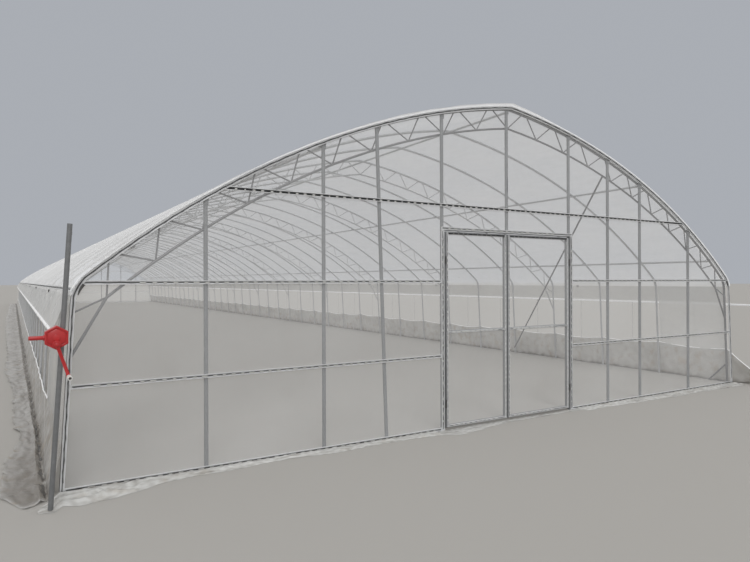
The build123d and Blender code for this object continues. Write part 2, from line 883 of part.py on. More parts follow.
# Short strut behind the foot of the right front leg
strut_x = width_at(leg_mid, strut_high)
strut_y = y_front + arch_tube / 2 + gap
strut_plane = Plane(origin=(strut_x, 0, 0), x_dir=(0, 1, 0), z_dir=(1, 0, 0))

with BuildPart() as foot_strut:
    with BuildSketch(strut_plane):
        Polygon(
            (strut_y, strut_high),
            (strut_y, strut_high - brace_tube * sqrt(2)),
            (strut_y + strut_long - brace_tube * sqrt(2), 0),
            (strut_y + strut_long, 0),
            align=None,
        )
    extrude(amount=brace_tube / 2, both=True)
foot_strut.part.label = "foot_strut"

# Files
export_step(front_truss.part, "parts/front_truss.step")
export_step(back_truss.part, "parts/back_truss.step")
export_step(truss_arches_front.part, "parts/truss_arches_front.step")
export_step(truss_arches_back.part, "parts/truss_arches_back.step")
export_step(plain_arches_front.part, "parts/plain_arches_front.step")
export_step(plain_arches_back.part, "parts/plain_arches_back.step")
export_step(ridge_purlin.part, "parts/ridge_purlin.step")
export_step(roof_purlins.part, "parts/roof_purlins.step")
export_step(roof_film.part, "parts/roof_film.step")
export_step(eave_channels.part, "parts/eave_channels.step")
export_step(guide_posts.part, "parts/guide_posts.step")
export_step(left_roll_tube.part, "parts/left_roll_tube.step")
export_step(right_roll_tube.part, "parts/right_roll_tube.step")
export_step(left_curtain.part, "parts/left_curtain.step")
export_step(right_curtain.part, "parts/right_curtain.step")
export_step(left_skirt.part, "parts/left_skirt.step")
export_step(right_skirt.part, "parts/right_skirt.step")
export_step(corner_films.part, "parts/corner_films.step")
export_step(front_posts.part, "parts/front_posts.step")
export_step(door_posts.part, "parts/door_posts.step")
export_step(door_header.part, "parts/door_header.step")
export_step(centre_post.part, "parts/centre_post.step")
export_step(back_posts.part, "parts/back_posts.step")
export_step(front_film_left.part, "parts/front_film_left.step")
export_step(front_film_right.part, "parts/front_film_right.step")
export_step(front_film_over_door.part, "parts/front_film_over_door.step")
export_step(back_film.part, "parts/back_film.step")
export_step(front_arch_channel.part, "parts/front_arch_channel.step")
export_step(front_rails.part, "parts/front_rails.step")
export_step(door_channels.part, "parts/door_channels.step")
export_step(back_rails.part, "parts/back_rails.step")
export_step(back_arch_channel.part, "parts/back_arch_channel.step")
export_step(ground_flap.part, "parts/ground_flap.step")
export_step(left_door_frame.part, "parts/left_door_frame.step")
export_step(right_door_frame.part, "parts/right_door_frame.step")
export_step(left_door_film.part, "parts/left_door_film.step")
export_step(right_door_film.part, "parts/right_door_film.step")
export_step(left_door_channel.part, "parts/left_door_channel.step")
export_step(right_door_channel.part, "parts/right_door_channel.step")
export_step(post_hinges.part, "parts/post_hinges.step")
export_step(left_leaf_hinges.part, "parts/left_leaf_hinges.step")
export_step(right_leaf_hinges.part, "parts/right_leaf_hinges.step")
export_step(left_winder_box.part, "parts/left_winder_box.step")
export_step(right_winder_box.part, "parts/right_winder_box.step")
export_step(left_crank.part, "parts/left_crank.step")
export_step(right_crank.part, "parts/right_crank.step")
export_step(left_grip.part, "parts/left_grip.step")
export_step(right_grip.part, "parts/right_grip.step")
export_step(diagonal_braces.part, "parts/diagonal_braces.step")
export_step(foot_strut.part, "parts/foot_strut.step")
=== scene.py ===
# %% [markdown]
# # A walk-in polytunnel, dressed in Blender
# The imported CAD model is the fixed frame. It is a 1:2 model of a long tunnel of
# steel arches under clear film. This lesson puts round tube, real lattice, zigzag
# lock wires and wrinkled film around that frame, piece by piece, in metres.

# %% Load the frame
from contextlib import contextmanager
import math
import bpy
import bmesh
from mathutils import Matrix, Vector, noise


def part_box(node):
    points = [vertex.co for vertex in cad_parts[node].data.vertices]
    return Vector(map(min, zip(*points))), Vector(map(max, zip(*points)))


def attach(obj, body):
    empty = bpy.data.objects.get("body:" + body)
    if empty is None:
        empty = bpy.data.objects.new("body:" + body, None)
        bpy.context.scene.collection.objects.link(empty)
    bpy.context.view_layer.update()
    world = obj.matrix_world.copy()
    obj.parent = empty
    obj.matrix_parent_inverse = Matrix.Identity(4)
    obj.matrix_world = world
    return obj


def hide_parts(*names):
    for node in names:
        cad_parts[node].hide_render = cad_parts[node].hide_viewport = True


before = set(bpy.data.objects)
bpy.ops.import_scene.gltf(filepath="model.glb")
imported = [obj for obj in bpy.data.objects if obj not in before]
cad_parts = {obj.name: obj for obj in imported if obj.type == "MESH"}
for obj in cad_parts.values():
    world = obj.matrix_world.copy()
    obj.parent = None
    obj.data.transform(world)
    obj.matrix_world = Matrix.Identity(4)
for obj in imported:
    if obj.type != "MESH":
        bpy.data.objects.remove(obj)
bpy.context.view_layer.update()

# %% [markdown]
# ## The places that everything hangs on
# The tunnel is one arch shape, repeated at every bay. Half an arch is a straight
# leg that leans in a little, a tight bend at the shoulder, and a long arc up to the
# ridge. The two long arcs meet at a slight point, as such arches do where the two
# half hoops are bolted. The same numbers place the tube, the lattice, the film and
# the channels, so they are worked out once here.

# %% Sizes of the arch
BAY = 0.5775
BAYS = 40
GROUPS = BAYS // 3  # one lattice arch and two plain ones
HALF = 2.325
EAVE = 0.7905
RIDGE = 1.811
ROOF_R = 4.345
LEAN = math.radians(3.16)
BEND_R = 0.150
TUBE = 0.016
PANELS = 10
CHORD_R = ROOF_R - 0.120


def middle_y(node):
    """The middle of a CAD node, from the door end to the back."""
    low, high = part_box(node)
    return (low.y + high.y) / 2


Y_FRONT = middle_y("front_truss")
Y_BACK = middle_y("back_truss")
POST_Y = middle_y("front_posts")
FILM_Y = middle_y("front_film_left")
RAIL_FRONT, RAIL_BACK = (corner.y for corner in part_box("front_rails"))
POST_R = (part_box("front_posts")[1].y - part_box("front_posts")[0].y) / 2 - 0.0002
SURROUND_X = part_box("door_channels")[1].x
RAIL_HALF = 0.008
FIT = 0.0003
WORDS = {-1: "left", 1: "right"}
SPRING_WAVE = 0.084

corner_x = HALF - EAVE * math.tan(LEAN)
slope = math.hypot(corner_x, RIDGE - EAVE)
away = math.sqrt(ROOF_R ** 2 - slope ** 2 / 4)
ARC_X = corner_x / 2 - away * (RIDGE - EAVE) / slope
ARC_Z = (RIDGE + EAVE) / 2 - away * corner_x / slope
reach = HALF * math.cos(LEAN) - BEND_R
base = Vector((reach * math.cos(LEAN), reach * math.sin(LEAN)))
b = (base.y - ARC_Z) * math.cos(LEAN) - (base.x - ARC_X) * math.sin(LEAN)
c = (base.x - ARC_X) ** 2 + (base.y - ARC_Z) ** 2 - (ROOF_R - BEND_R) ** 2
up = -b + math.sqrt(b * b - c)
BEND_X = base.x - up * math.sin(LEAN)
BEND_Z = base.y + up * math.cos(LEAN)
A_TOP = math.asin(-ARC_X / ROOF_R)
A_EAVE = math.atan2(BEND_X - ARC_X, BEND_Z - ARC_Z)
A_LEG = math.pi / 2 - LEAN
print("arc centre", round(ARC_X, 4), round(ARC_Z, 4), "bend centre", round(BEND_X, 4), round(BEND_Z, 4))


def on_roof(angle, radius=ROOF_R):
    """A point of the right slope, by its angle from the vertical at the arc's centre."""
    return ARC_X + radius * math.sin(angle), ARC_Z + radius * math.cos(angle)


ROOF_LONG = ROOF_R * (A_EAVE - A_TOP)
BEND_LONG = BEND_R * (A_LEG - A_EAVE)
LEG_TOP = BEND_Z + BEND_R * math.cos(A_LEG)
LEG_LONG = LEG_TOP / math.cos(LEAN)
FILM_END = ROOF_LONG + BEND_LONG * 0.80  # where the roof film ends, along the arch


def rib(s, out=0.0):
    """A point of the arch's outside line, s along it from the ridge, moved out by out."""
    side = -1 if s < 0 else 1
    s = abs(s)
    if s <= ROOF_LONG:
        a = A_TOP + s / ROOF_R
        x, z = on_roof(a, ROOF_R + out)
        if x < 0:
            x = 0.0
        return side * x, z
    if s <= ROOF_LONG + BEND_LONG:
        a = A_EAVE + (s - ROOF_LONG) / BEND_R
        return side * (BEND_X + (BEND_R + out) * math.sin(a)), BEND_Z + (BEND_R + out) * math.cos(a)
    d = s - ROOF_LONG - BEND_LONG
    x = BEND_X + (BEND_R + out) * math.sin(A_LEG) + d * math.sin(LEAN)
    z = BEND_Z + (BEND_R + out) * math.cos(A_LEG) - d * math.cos(LEAN)
    return side * x, z


print("half arch:", round(ROOF_LONG + BEND_LONG + LEG_LONG, 3), "m of tube")

# %% [markdown]
# ## Small hand tools
# Blender's operators work on whatever is selected, so each tool first deselects
# everything. A finished piece has its place in its mesh and its object at the
# origin, so that patterns on Object coordinates stay where they are.

# %% Hand tools
def nothing_selected():
    """Back to whole objects, none of them selected, and to choosing by vertices."""
    if bpy.context.object and bpy.context.object.mode != "OBJECT":
        bpy.ops.object.mode_set(mode="OBJECT")
    for o in bpy.context.selected_objects:
        o.select_set(False)
    bpy.context.view_layer.objects.active = None
    bpy.context.tool_settings.mesh_select_mode = (True, False, False)


def take(obj):
    """Selects one object only."""
    nothing_selected()
    obj.select_set(True)
    bpy.context.view_layer.objects.active = obj
    return obj


def settle(obj):
    """Puts the object's place and turn into its mesh."""
    take(obj)
    bpy.ops.object.transform_apply(location=True, rotation=True, scale=True)
    return obj


def joined(parts, name):
    """Joins several pieces into one with that name."""
    nothing_selected()
    for p in parts:
        p.select_set(True)
    bpy.context.view_layer.objects.active = parts[0]
    if len(parts) > 1:
        bpy.ops.object.join()
    obj = bpy.context.view_layer.objects.active
    obj.name = name
    obj.data.name = name
    return obj


def rod(a, b, radius, sides=8, name="rod"):
    """A round bar from a to b, closed at both ends."""
    a, b = Vector(a), Vector(b)
    run = b - a
    nothing_selected()
    bpy.ops.mesh.primitive_cylinder_add(
        vertices=sides, radius=radius, depth=run.length, location=(a + b) / 2,
        rotation=run.to_track_quat("Z", "Y").to_euler())
    obj = bpy.context.object
    obj.name = name
    return settle(obj)


def block(low, high, name="block", bevel=0.0):
    """A bar between two corners, with its edges bevelled if asked."""
    low, high = Vector(low), Vector(high)
    nothing_selected()
    bpy.ops.mesh.primitive_cube_add(size=1, location=(low + high) / 2)
    obj = bpy.context.object
    obj.name = name
    obj.scale = high - low
    settle(obj)
    if bevel:
        add_modifier(obj, "BEVEL", width=bevel, segments=2)
    return obj


def add_modifier(obj, kind, **settings):
    """Adds a modifier, sets it and applies it."""
    take(obj)
    m = obj.modifiers.new(kind.title(), kind)
    for key, value in settings.items():
        setattr(m, key, value)
    bpy.ops.object.modifier_apply(modifier=m.name)
    return obj


def repeated(obj, count, step):
    """Copies a piece count times along a step, each copy with its own mesh."""
    return add_modifier(obj, "ARRAY", count=count, use_relative_offset=False,
                        use_constant_offset=True, constant_offset_displace=step)


def mirrored(obj):
    """Adds the other half across X, joined where the halves meet."""
    add_modifier(obj, "MIRROR", use_axis=(True, False, False), merge_threshold=0.0004)
    return outward(obj)


def outward(obj):
    """Turns every face of a closed piece outward."""
    with edit_mode(obj):
        bpy.ops.mesh.select_all(action="SELECT")
        bpy.ops.mesh.normals_make_consistent(inside=False)
    return obj


FILM_ANGLE = 60
TUBE_ANGLE = 40


def smooth(obj, degrees=TUBE_ANGLE):
    """Shades a piece smooth, with its edges sharp from an angle on."""
    take(obj)
    bpy.ops.object.shade_smooth_by_angle(angle=math.radians(degrees))
    return obj


def place(obj, body, slot, material, *replaced):
    """Material and body of a finished piece, and the CAD nodes that it stands for. The slot is not used."""
    obj.data.materials.clear()
    obj.data.materials.append(material)
    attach(obj, body)
    if replaced:
        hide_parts(*replaced)
    return obj


def marked(obj, name, domain, values):
    """Writes a number on each face or corner point, for a material to read."""
    layer = obj.data.attributes.new(name, "FLOAT", domain)
    for item, value in zip(layer.data, values):
        item.value = value
    return obj


def pick(obj, test, edges=False):
    """In edit mode, selects just the faces, or the edges, that pass a test."""
    bpy.ops.mesh.select_mode(type="EDGE" if edges else "FACE")
    bpy.ops.mesh.select_all(action="DESELECT")
    work = bmesh.from_edit_mesh(obj.data)
    for item in (work.edges if edges else work.faces):
        if test(item):
            item.select_set(True)
    bmesh.update_edit_mesh(obj.data)


def edge_run(edge):
    """How far an edge runs along the tunnel."""
    return abs(edge.verts[0].co.y - edge.verts[1].co.y)


def choose(obj, test):
    """In edit mode, selects just the vertices that pass a test, and all between them."""
    bpy.ops.mesh.select_all(action="DESELECT")
    work = bmesh.from_edit_mesh(obj.data)
    for v in work.verts:
        if test(v.co):
            v.select_set(True)
    work.select_flush(True)
    bmesh.update_edit_mesh(obj.data)


def ripple(x, y, z):
    """Smooth noise between about -1 and 1, for the folds and waves of film."""
    return noise.noise(Vector((x, y, z)))


@contextmanager
def edit_mode(obj):
    """Edits one object's mesh, then goes back to whole objects."""
    take(obj)
    bpy.ops.object.mode_set(mode="EDIT")
    yield
    bpy.ops.object.mode_set(mode="OBJECT")


def drawn(way):
    """In edit mode, draws the selected faces out, or pushes them in, by a vector."""
    bpy.ops.mesh.extrude_region_move(TRANSFORM_OT_translate={"value": way})


def spun(steps, angle, centre):
    """In edit mode, bends the selected section about a centre, as a bending roller does."""
    bpy.ops.mesh.spin(steps=steps, angle=angle, center=centre, axis=(0, 1, 0))


def turned(sides, radius, x, y_middle, z, long):
    """A round or many-sided bar that lies along the tunnel."""
    nothing_selected()
    bpy.ops.mesh.primitive_cylinder_add(vertices=sides, radius=radius, depth=long,
                                        location=(x, y_middle, z), rotation=(math.pi / 2, 0, 0))
    return settle(bpy.context.object)


def bevelled(obj, width):
    """Rounds the sharp edges of a machined part."""
    return add_modifier(obj, "BEVEL", width=width, segments=2, limit_method="ANGLE")


def finished(parts, name, body, slot, material, *replaced, angle=TUBE_ANGLE):
    """Joins the parts of one piece, shades it smooth up to an angle and places it."""
    return place(smooth(joined(parts, name), angle), body, slot, material, *replaced)


print("tools ready")

# %% [markdown]
# ## The camera
# The photograph was taken from outside the left front corner, at eye height, level,
# looking along the diagonal of the front wall. In the 1:2 model the eye is 0.8 m
# up. The lens gives the same spread as the picture.

# %% Camera
nothing_selected()
VIEW_TURN = math.radians(31.12)
VIEW_ROLL = math.radians(-0.17)
EYE = (-2.4724, Y_FRONT - 2.596, 0.803)
LENS = 28.76
bpy.ops.object.camera_add(location=EYE)
camera = bpy.context.object
turn = Matrix.Rotation(-VIEW_TURN, 3, "Z") @ Matrix.Rotation(math.pi / 2, 3, "X")
camera.rotation_euler = (turn @ Matrix.Rotation(VIEW_ROLL, 3, "Z")).to_euler()
camera.data.sensor_width = 36
camera.data.lens = LENS
camera.data.clip_start = 0.05
camera.data.clip_end = 400
bpy.context.scene.camera = camera
print("camera at", [round(v, 3) for v in camera.location])

# %% [markdown]
# ## Floor, background and light
# A film tunnel shows best against a pale grey that is a little darker than the film
# itself, so the floor and the background are pale and plain. One wide soft lamp from
# above and behind the camera, and an even light all round, keep colours as written.

# %% Stage and light
FLOOR_GREY = (0.48, 0.465, 0.44, 1)
EVEN_LIGHT = (1.0, 1.0, 1.0, 1)
EVEN_STRENGTH = 0.62
BACKDROP = (0.40, 0.42, 0.455, 1)
SUN_TURN = (math.radians(48), math.radians(-20), 0)
SUN_SPREAD = math.radians(25)
nothing_selected()
bpy.ops.mesh.primitive_plane_add(size=260, location=(0, 40, 0))
floor = bpy.context.object
floor.name = "floor"
settle(floor)
floor_paint = bpy.data.materials.new("floor_paint")
floor_paint.use_nodes = True
floor_shader = floor_paint.node_tree.nodes["Principled BSDF"]
floor_shader.inputs["Base Color"].default_value = FLOOR_GREY
floor_shader.inputs["Roughness"].default_value = 0.95
floor_shader.inputs["Specular IOR Level"].default_value = 0.1
floor.data.materials.append(floor_paint)

world = bpy.data.worlds.new("studio")
bpy.context.scene.world = world
world.use_nodes = True
tree = world.node_tree
tree.nodes.clear()
path = tree.nodes.new("ShaderNodeLightPath")
mix = tree.nodes.new("ShaderNodeMixShader")
out = tree.nodes.new("ShaderNodeOutputWorld")
tree.links.new(path.outputs["Is Camera Ray"], mix.inputs[0])
for slot, colour, strength in ((1, EVEN_LIGHT, EVEN_STRENGTH), (2, BACKDROP, 1.0)):
    glow = tree.nodes.new("ShaderNodeBackground")
    glow.inputs["Color"].default_value = colour
    glow.inputs["Strength"].default_value = strength
    tree.links.new(glow.outputs[0], mix.inputs[slot])
tree.links.new(mix.outputs[0], out.inputs[0])

nothing_selected()
bpy.ops.object.light_add(type="SUN", rotation=SUN_TURN)
sun = bpy.context.object
sun.name = "soft_key"
sun.data.energy = 1.0
sun.data.angle = SUN_SPREAD
bpy.context.scene.view_settings.view_transform = "Standard"
print("stage set")

# %% [markdown]
# ## Shader tools
# A pattern is easier to read as a sum than as a web of boxes. `Sock` wraps one
# socket, so that `mask * 0.5 + 0.2` adds the Math nodes by itself, and `node` adds
# any other node.

# %% Socket class
class Sock:
    """One output of a node, with which sums can be written."""

    def __init__(self, tree, out):
        self.tree, self.out = tree, out

    def _math(self, how, a, b):
        n = self.tree.nodes.new("ShaderNodeMath")
        n.operation = how
        for i, v in enumerate((a, b)):
            if isinstance(v, Sock):
                self.tree.links.new(v.out, n.inputs[i])
            else:
                n.inputs[i].default_value = v
        return Sock(self.tree, n.outputs[0])

    def __add__(self, o):
        return self._math("ADD", self, o)

    def __radd__(self, o):
        return self._math("ADD", o, self)

    def __sub__(self, o):
        return self._math("SUBTRACT", self, o)

    def __rsub__(self, o):
        return self._math("SUBTRACT", o, self)

    def __mul__(self, o):
        return self._math("MULTIPLY", self, o)

    def __rmul__(self, o):
        return self._math("MULTIPLY", o, self)

    def __pow__(self, o):
        return self._math("POWER", self, o)


class Finish:
    """A material, with its Principled shader and a method for any other node."""

    def __init__(self, name, **plain):
        self.material = bpy.data.materials.new(name)
        self.material.use_nodes = True
        self.tree = self.material.node_tree
        self.shader = self.tree.nodes["Principled BSDF"]
        for key, value in plain.items():
            self.shader.inputs[key.replace("_", " ")].default_value = value
        self.place = self.node("ShaderNodeTexCoord", {}, {}, "Object")

    def node(self, kind, settings, inputs, output=0):
        n = self.tree.nodes.new(kind)
        for key, value in settings.items():
            if key == "stops":
                ramp = n.color_ramp
                while len(ramp.elements) < len(value):
                    ramp.elements.new(1)
                for stop, (at, colour) in zip(ramp.elements, value):
                    stop.position = at
                    stop.color = colour
            else:
                setattr(n, key, value)
        for key, value in inputs.items():
            if isinstance(value, Sock):
                self.tree.links.new(value.out, n.inputs[key])
            else:
                n.inputs[key].default_value = value
        return Sock(self.tree, n.outputs[output])

    def feed(self, socket, value):
        self.tree.links.new(value.out, self.shader.inputs[socket])

    def stretch(self, scale, coords=None):
        return self.node("ShaderNodeMapping", {}, {"Vector": coords or self.place, "Scale": scale})

    def noise(self, scale, detail=3, coords=None):
        return self.node("ShaderNodeTexNoise", {},
                         {"Vector": coords or self.place, "Scale": scale, "Detail": detail}, "Fac")

    def blend(self, factor, a, b):
        n = self.tree.nodes.new("ShaderNodeMix")
        n.data_type = "RGBA"
        for i, v in ((0, factor), (6, a), (7, b)):
            if isinstance(v, Sock):
                self.tree.links.new(v.out, n.inputs[i])
            else:
                n.inputs[i].default_value = v
        return Sock(self.tree, n.outputs[2])

    def ramp(self, value, *stops):
        return self.node("ShaderNodeValToRGB", {"stops": stops}, {"Fac": value}, "Color")

    def bump(self, height, strength, distance):
        inputs = {"Height": height, "Strength": strength, "Distance": distance}
        self.feed("Normal", self.node("ShaderNodeBump", {}, inputs, "Normal"))

    def mark(self, name):
        """A number that the script wrote on each face or corner."""
        return self.node("ShaderNodeAttribute", {"attribute_name": name}, {}, "Fac")


print("shader tools ready")

# %% [markdown]
# ## Metal finishes
# Dipped galvanised tube is a dull grey with a faint mottle and long pale runs. A darker
# copy of it paints shade on the near lattice arch and the braces. The lock channels are
# rolled from brighter sheet, and painted shade darkens the groove down their middle. The
# spring wire in them is dark, with a plastic coat. The winder is red gloss paint, a little
# faded and chipped.

# %% Metals
GROOVE_PAINTED_SHADE = (0.030, 0.031, 0.033, 1)
BLACK, WHITE = (0, 0, 0, 1), (1, 1, 1, 1)


def galvanised(name, dark, light, rough, floor_shade=0.0):
    """Mottled zinc between two greys. Channels also darken the groove on their floor with painted shade, as
    much as their deep mark says.
    """
    f = Finish(name, Metallic=0.35, Specular_IOR_Level=0.4)
    mottle = f.noise(60, 4)
    runs = f.noise(6, 3, f.stretch((1, 1, 0.15)))
    shade = mottle * 0.55 + runs * 0.45
    colour = f.blend(shade, dark, light)
    if floor_shade:
        # painted shade: the channel's groove goes dark as far as the deep mark says
        colour = f.blend(f.mark("deep") * floor_shade, colour, GROOVE_PAINTED_SHADE)
    f.feed("Base Color", colour)
    f.feed("Roughness", mottle * 0.16 + rough)
    f.bump(mottle, 0.12, 0.001)
    return f.material


steel = galvanised("galvanised_steel", (0.32, 0.33, 0.34, 1), (0.68, 0.69, 0.70, 1), 0.38)
# A darker copy of the galvanised steel: painted shade on the near lattice arch and the braces.
shaded_lattice_steel = galvanised("painted_shade_lattice_steel", (0.09, 0.09, 0.095, 1), (0.26, 0.26, 0.265, 1), 0.42)
bright = galvanised("bright_channel", (0.62, 0.63, 0.64, 1), (0.95, 0.96, 0.97, 1), 0.30, 1.0)
wall_steel = galvanised("grey_post_tube", (0.13, 0.135, 0.14, 1), (0.31, 0.32, 0.33, 1), 0.40)
guide_steel = galvanised("weathered_guide_tube", (0.115, 0.12, 0.125, 1), (0.29, 0.295, 0.30, 1), 0.44)


def specked(name, scale, detail, dark, light, **plain):
    """A coat that varies between two colours in fine specks, with its specks."""
    f = Finish(name, **plain)
    specks = f.noise(scale, detail)
    f.feed("Base Color", f.blend(specks, dark, light))
    return f, specks


wire_finish, _ = specked("lock_wire_coat", 220, 2, (0.020, 0.020, 0.022, 1), (0.085, 0.085, 0.09, 1),
                         Roughness=0.45)
wire = wire_finish.material

dark_finish, grime = specked("dull_dark_steel", 90, 4, (0.045, 0.045, 0.047, 1), (0.16, 0.155, 0.15, 1),
                             Metallic=0.4)
dark_finish.feed("Roughness", grime * 0.3 + 0.45)
dark_steel = dark_finish.material

red_finish = Finish("red_gloss_paint", Coat_Weight=0.4, Coat_Roughness=0.2)
fade = red_finish.noise(24, 4)
chips = red_finish.ramp(red_finish.noise(140, 5), (0.70, BLACK), (0.74, WHITE))
faded = red_finish.blend(fade, (0.36, 0.008, 0.012, 1), (0.62, 0.022, 0.022, 1))
red_finish.feed("Base Color", red_finish.blend(chips * 0.6, faded, (0.12, 0.03, 0.025, 1)))
red_finish.feed("Roughness", fade * 0.25 + 0.28)
red_finish.bump(red_finish.noise(300, 3), 0.06, 0.001)
red = red_finish.material

white_finish, _ = specked("white_grip_plastic", 70, 5, (0.62, 0.60, 0.55, 1), (0.90, 0.90, 0.88, 1),
                          Roughness=0.42)
white_finish.bump(white_finish.noise(400, 2), 0.08, 0.0005)
white_plastic = white_finish.material
print("metals:", [m.name for m in (steel, bright, wall_steel, wire, dark_steel, red, white_plastic)])

# %% [markdown]
# ## Film finishes
# Greenhouse film is clear, but never quite: haze, dust and water marks make it a
# thin milky veil. Each film is a single surface with a low, uneven alpha. The film
# on the roof is cloudier than the sheets on the front wall, and the film that lies
# on the ground is almost white with folds and soil. Daylight inside a tunnel comes
# through its film, so some films give off a faint even light that stands in for it.

# %% Films
SOIL = (0.17, 0.145, 0.115, 1)
NEAR_BLACK_SOIL_AND_SHADE = (0.030, 0.025, 0.020, 1)


def film_finish(name, colour, low, high, scale, soil=0.0, bump=0.35, grain=(1, 1, 1), through=0.0):
    """Film whose haze runs from low to high. Soiled film also reads a dirt mark at each place, which holds
    real soil and, where it runs highest, painted shade in creases.
    """
    f = Finish(name, Roughness=0.26, IOR=1.45, Specular_IOR_Level=0.45,
               Emission_Color=(1.0, 0.985, 0.98, 1), Emission_Strength=through)
    f.material.use_backface_culling = False
    cloud = f.noise(scale, 5, f.stretch(grain))
    fine = f.noise(scale * 9, 3, f.stretch(grain))
    f.feed("Alpha", (cloud * 0.7 + fine * 0.3) * (high - low) * 1.6 + (low - (high - low) * 0.3))
    if soil:
        dirt = f.ramp(f.noise(scale * 2.5, 6), (0.52, BLACK), (0.68, WHITE))
        soil_and_shade_mark = f.mark("dirt")
        soiled = f.blend(soil_and_shade_mark, f.blend(dirt * soil, colour, (0.42, 0.34, 0.25, 1)), SOIL)
        # Where the mark runs highest the film goes near black: painted shade in the creases at a wall's foot,
        # over real soil.
        black = f.ramp(soil_and_shade_mark, (0.86, BLACK), (1.0, WHITE))
        f.feed("Base Color", f.blend(black, soiled, NEAR_BLACK_SOIL_AND_SHADE))
    else:
        f.feed("Base Color", f.blend(fine, colour, tuple(v * 0.94 for v in colour[:3]) + (1,)))
    f.bump(fine, bump, 0.004)
    return f.material


CLEAR = (0.93, 0.94, 0.95, 1)
roof_finish = film_finish("roof_film_haze", CLEAR, 0.42, 0.72, 1.6, grain=(1, 0.35, 1), through=0.21)
front_finish = film_finish("front_film_clear", CLEAR, 0.12, 0.27, 2.2, through=0.05)
side_finish = film_finish("side_film_milky", (0.78, 0.78, 0.77, 1), 0.48, 0.74, 2.6, grain=(1, 0.4, 1))
skirt_finish = film_finish("soiled_and_shaded_skirt_film", (0.60, 0.59, 0.57, 1), 0.70, 0.96, 5.0, soil=0.55, bump=0.6)
hem_finish = film_finish("white_hem_film", (0.74, 0.74, 0.72, 1), 0.80, 1.0, 5.0, soil=0.30, bump=0.6)
rolled_finish = film_finish("rolled_film_white", (0.88, 0.89, 0.90, 1), 0.96, 1.0, 6.0,
                            bump=0.7, grain=(1, 0.2, 1), through=0.16)
edge_finish = film_finish("doubled_film_edge", (0.94, 0.95, 0.96, 1), 0.78, 1.0, 7.0, bump=0.6, through=0.22)
strap_finish = film_finish("white_strap", (0.86, 0.86, 0.85, 1), 0.34, 0.52, 9.0)
fold_finish = film_finish("pinched_film", (0.62, 0.62, 0.60, 1), 0.88, 1.0, 9.0, bump=0.6)
print("films ready")

# %% [markdown]
# ## The arches
# A real hoop is one tube bent on rollers. Here a ring of the tube's section stands at
# the foot, is drawn up the leg, then spun about the centre of the shoulder bend and
# about the far centre of the roof arc, just as the bending rollers do. One half is
# made, mirrored, and copied to every bay.

# %% One hoop
NEAR_FLOOR = 0.0004


def hoop(radius, line_in, sides, name, bend_steps=7, roof_steps=26):
    """A round tube bent to the arch, its axis line_in inside the arch's outside line."""
    foot = HALF - line_in / math.cos(LEAN)
    nothing_selected()
    bpy.ops.mesh.primitive_circle_add(vertices=sides, radius=radius, location=(foot, Y_FRONT, 0))
    obj = settle(bpy.context.object)
    obj.name = name
    return rolled_to_arch(obj, Y_FRONT, bend_steps, roof_steps)


def rolled_to_arch(obj, y, bend_steps, roof_steps):
    """Draws a section up the leg, bends it at the shoulder and along the roof, and adds the other half."""
    with edit_mode(obj):
        bpy.ops.mesh.select_all(action="SELECT")
        drawn((-math.sin(LEAN) * LEG_LONG, 0, math.cos(LEAN) * LEG_LONG))
        spun(bend_steps, A_LEG - A_EAVE, (BEND_X, y, BEND_Z))
        spun(roof_steps, A_EAVE - A_TOP, (ARC_X, y, ARC_Z))
        bpy.ops.transform.resize(value=(0, 1, 1), center_override=(0, 0, 0))
    mirrored(obj)
    with edit_mode(obj):
        for side in (1, -1):
            choose(obj, lambda co: co.z < NEAR_FLOOR and side * co.x > 0)
            bpy.ops.mesh.edge_face_add()
    return obj


plain = hoop(TUBE / 2, TUBE / 2, 10, "plain_arch")
box_low, box_high = min(v.co.z for v in plain.data.vertices), max(v.co.z for v in plain.data.vertices)
print("hoop from", round(box_low, 4), "to", round(box_high, 4), "with", len(plain.data.polygons), "faces")

# %% Plain hoops between the lattice ones
repeated(plain, 2, (0, BAY, 0))
bpy.ops.transform.translate(value=(0, BAY, 0))
settle(plain)
repeated(plain, GROUPS, (0, 3 * BAY, 0))
plain.name = "plain_arches"
smooth(plain)
place(plain, "frame", "galvanised", steel, "plain_arches_front", "plain_arches_back")
print("plain arches:", len(plain.data.polygons), "faces")

# %% [markdown]
# ## The lattice
# Every third hoop is a truss: a thinner chord runs 120 mm under the hoop, down to the
# leg, and short rods zigzag between them, welded in pairs to the hoop. The chord is
# bent the same way as the hoop, with its own radius. Each rod is a plain round bar.

# %% Chord, rods and one whole truss
CHORD_TUBE = 0.006
ROD_R = 0.0038
CHORD_FOOT = 0.500
STRUT_FOOT = 0.680
chord_start = math.asin(-ARC_X / CHORD_R)
chord_end = A_EAVE
panel = (chord_end - chord_start) / PANELS


def leg_axis(z):
    """X of the middle of the leg tube at a height."""
    return HALF - TUBE / 2 / math.cos(LEAN) - z * math.tan(LEAN)


def chord_half(radius, sides):
    """The chord from the ridge to its last bend, and the straight run to the leg."""
    x, z = on_roof(chord_start, CHORD_R)
    nothing_selected()
    bpy.ops.mesh.primitive_circle_add(vertices=sides, radius=radius, location=(x, Y_FRONT, z),
                                      rotation=(0, math.pi / 2 + chord_start, 0))
    obj = settle(bpy.context.object)
    with edit_mode(obj):
        bpy.ops.mesh.select_all(action="SELECT")
        bpy.ops.transform.resize(value=(0, 1, 1), center_override=(0, 0, 0))
        spun(22, chord_start - chord_end, (ARC_X, Y_FRONT, ARC_Z))
    end_x, end_z = on_roof(chord_end, CHORD_R)
    low = rod((end_x, Y_FRONT, end_z), (leg_axis(CHORD_FOOT), Y_FRONT, CHORD_FOOT), radius, sides)
    return joined([obj, low], "chord")


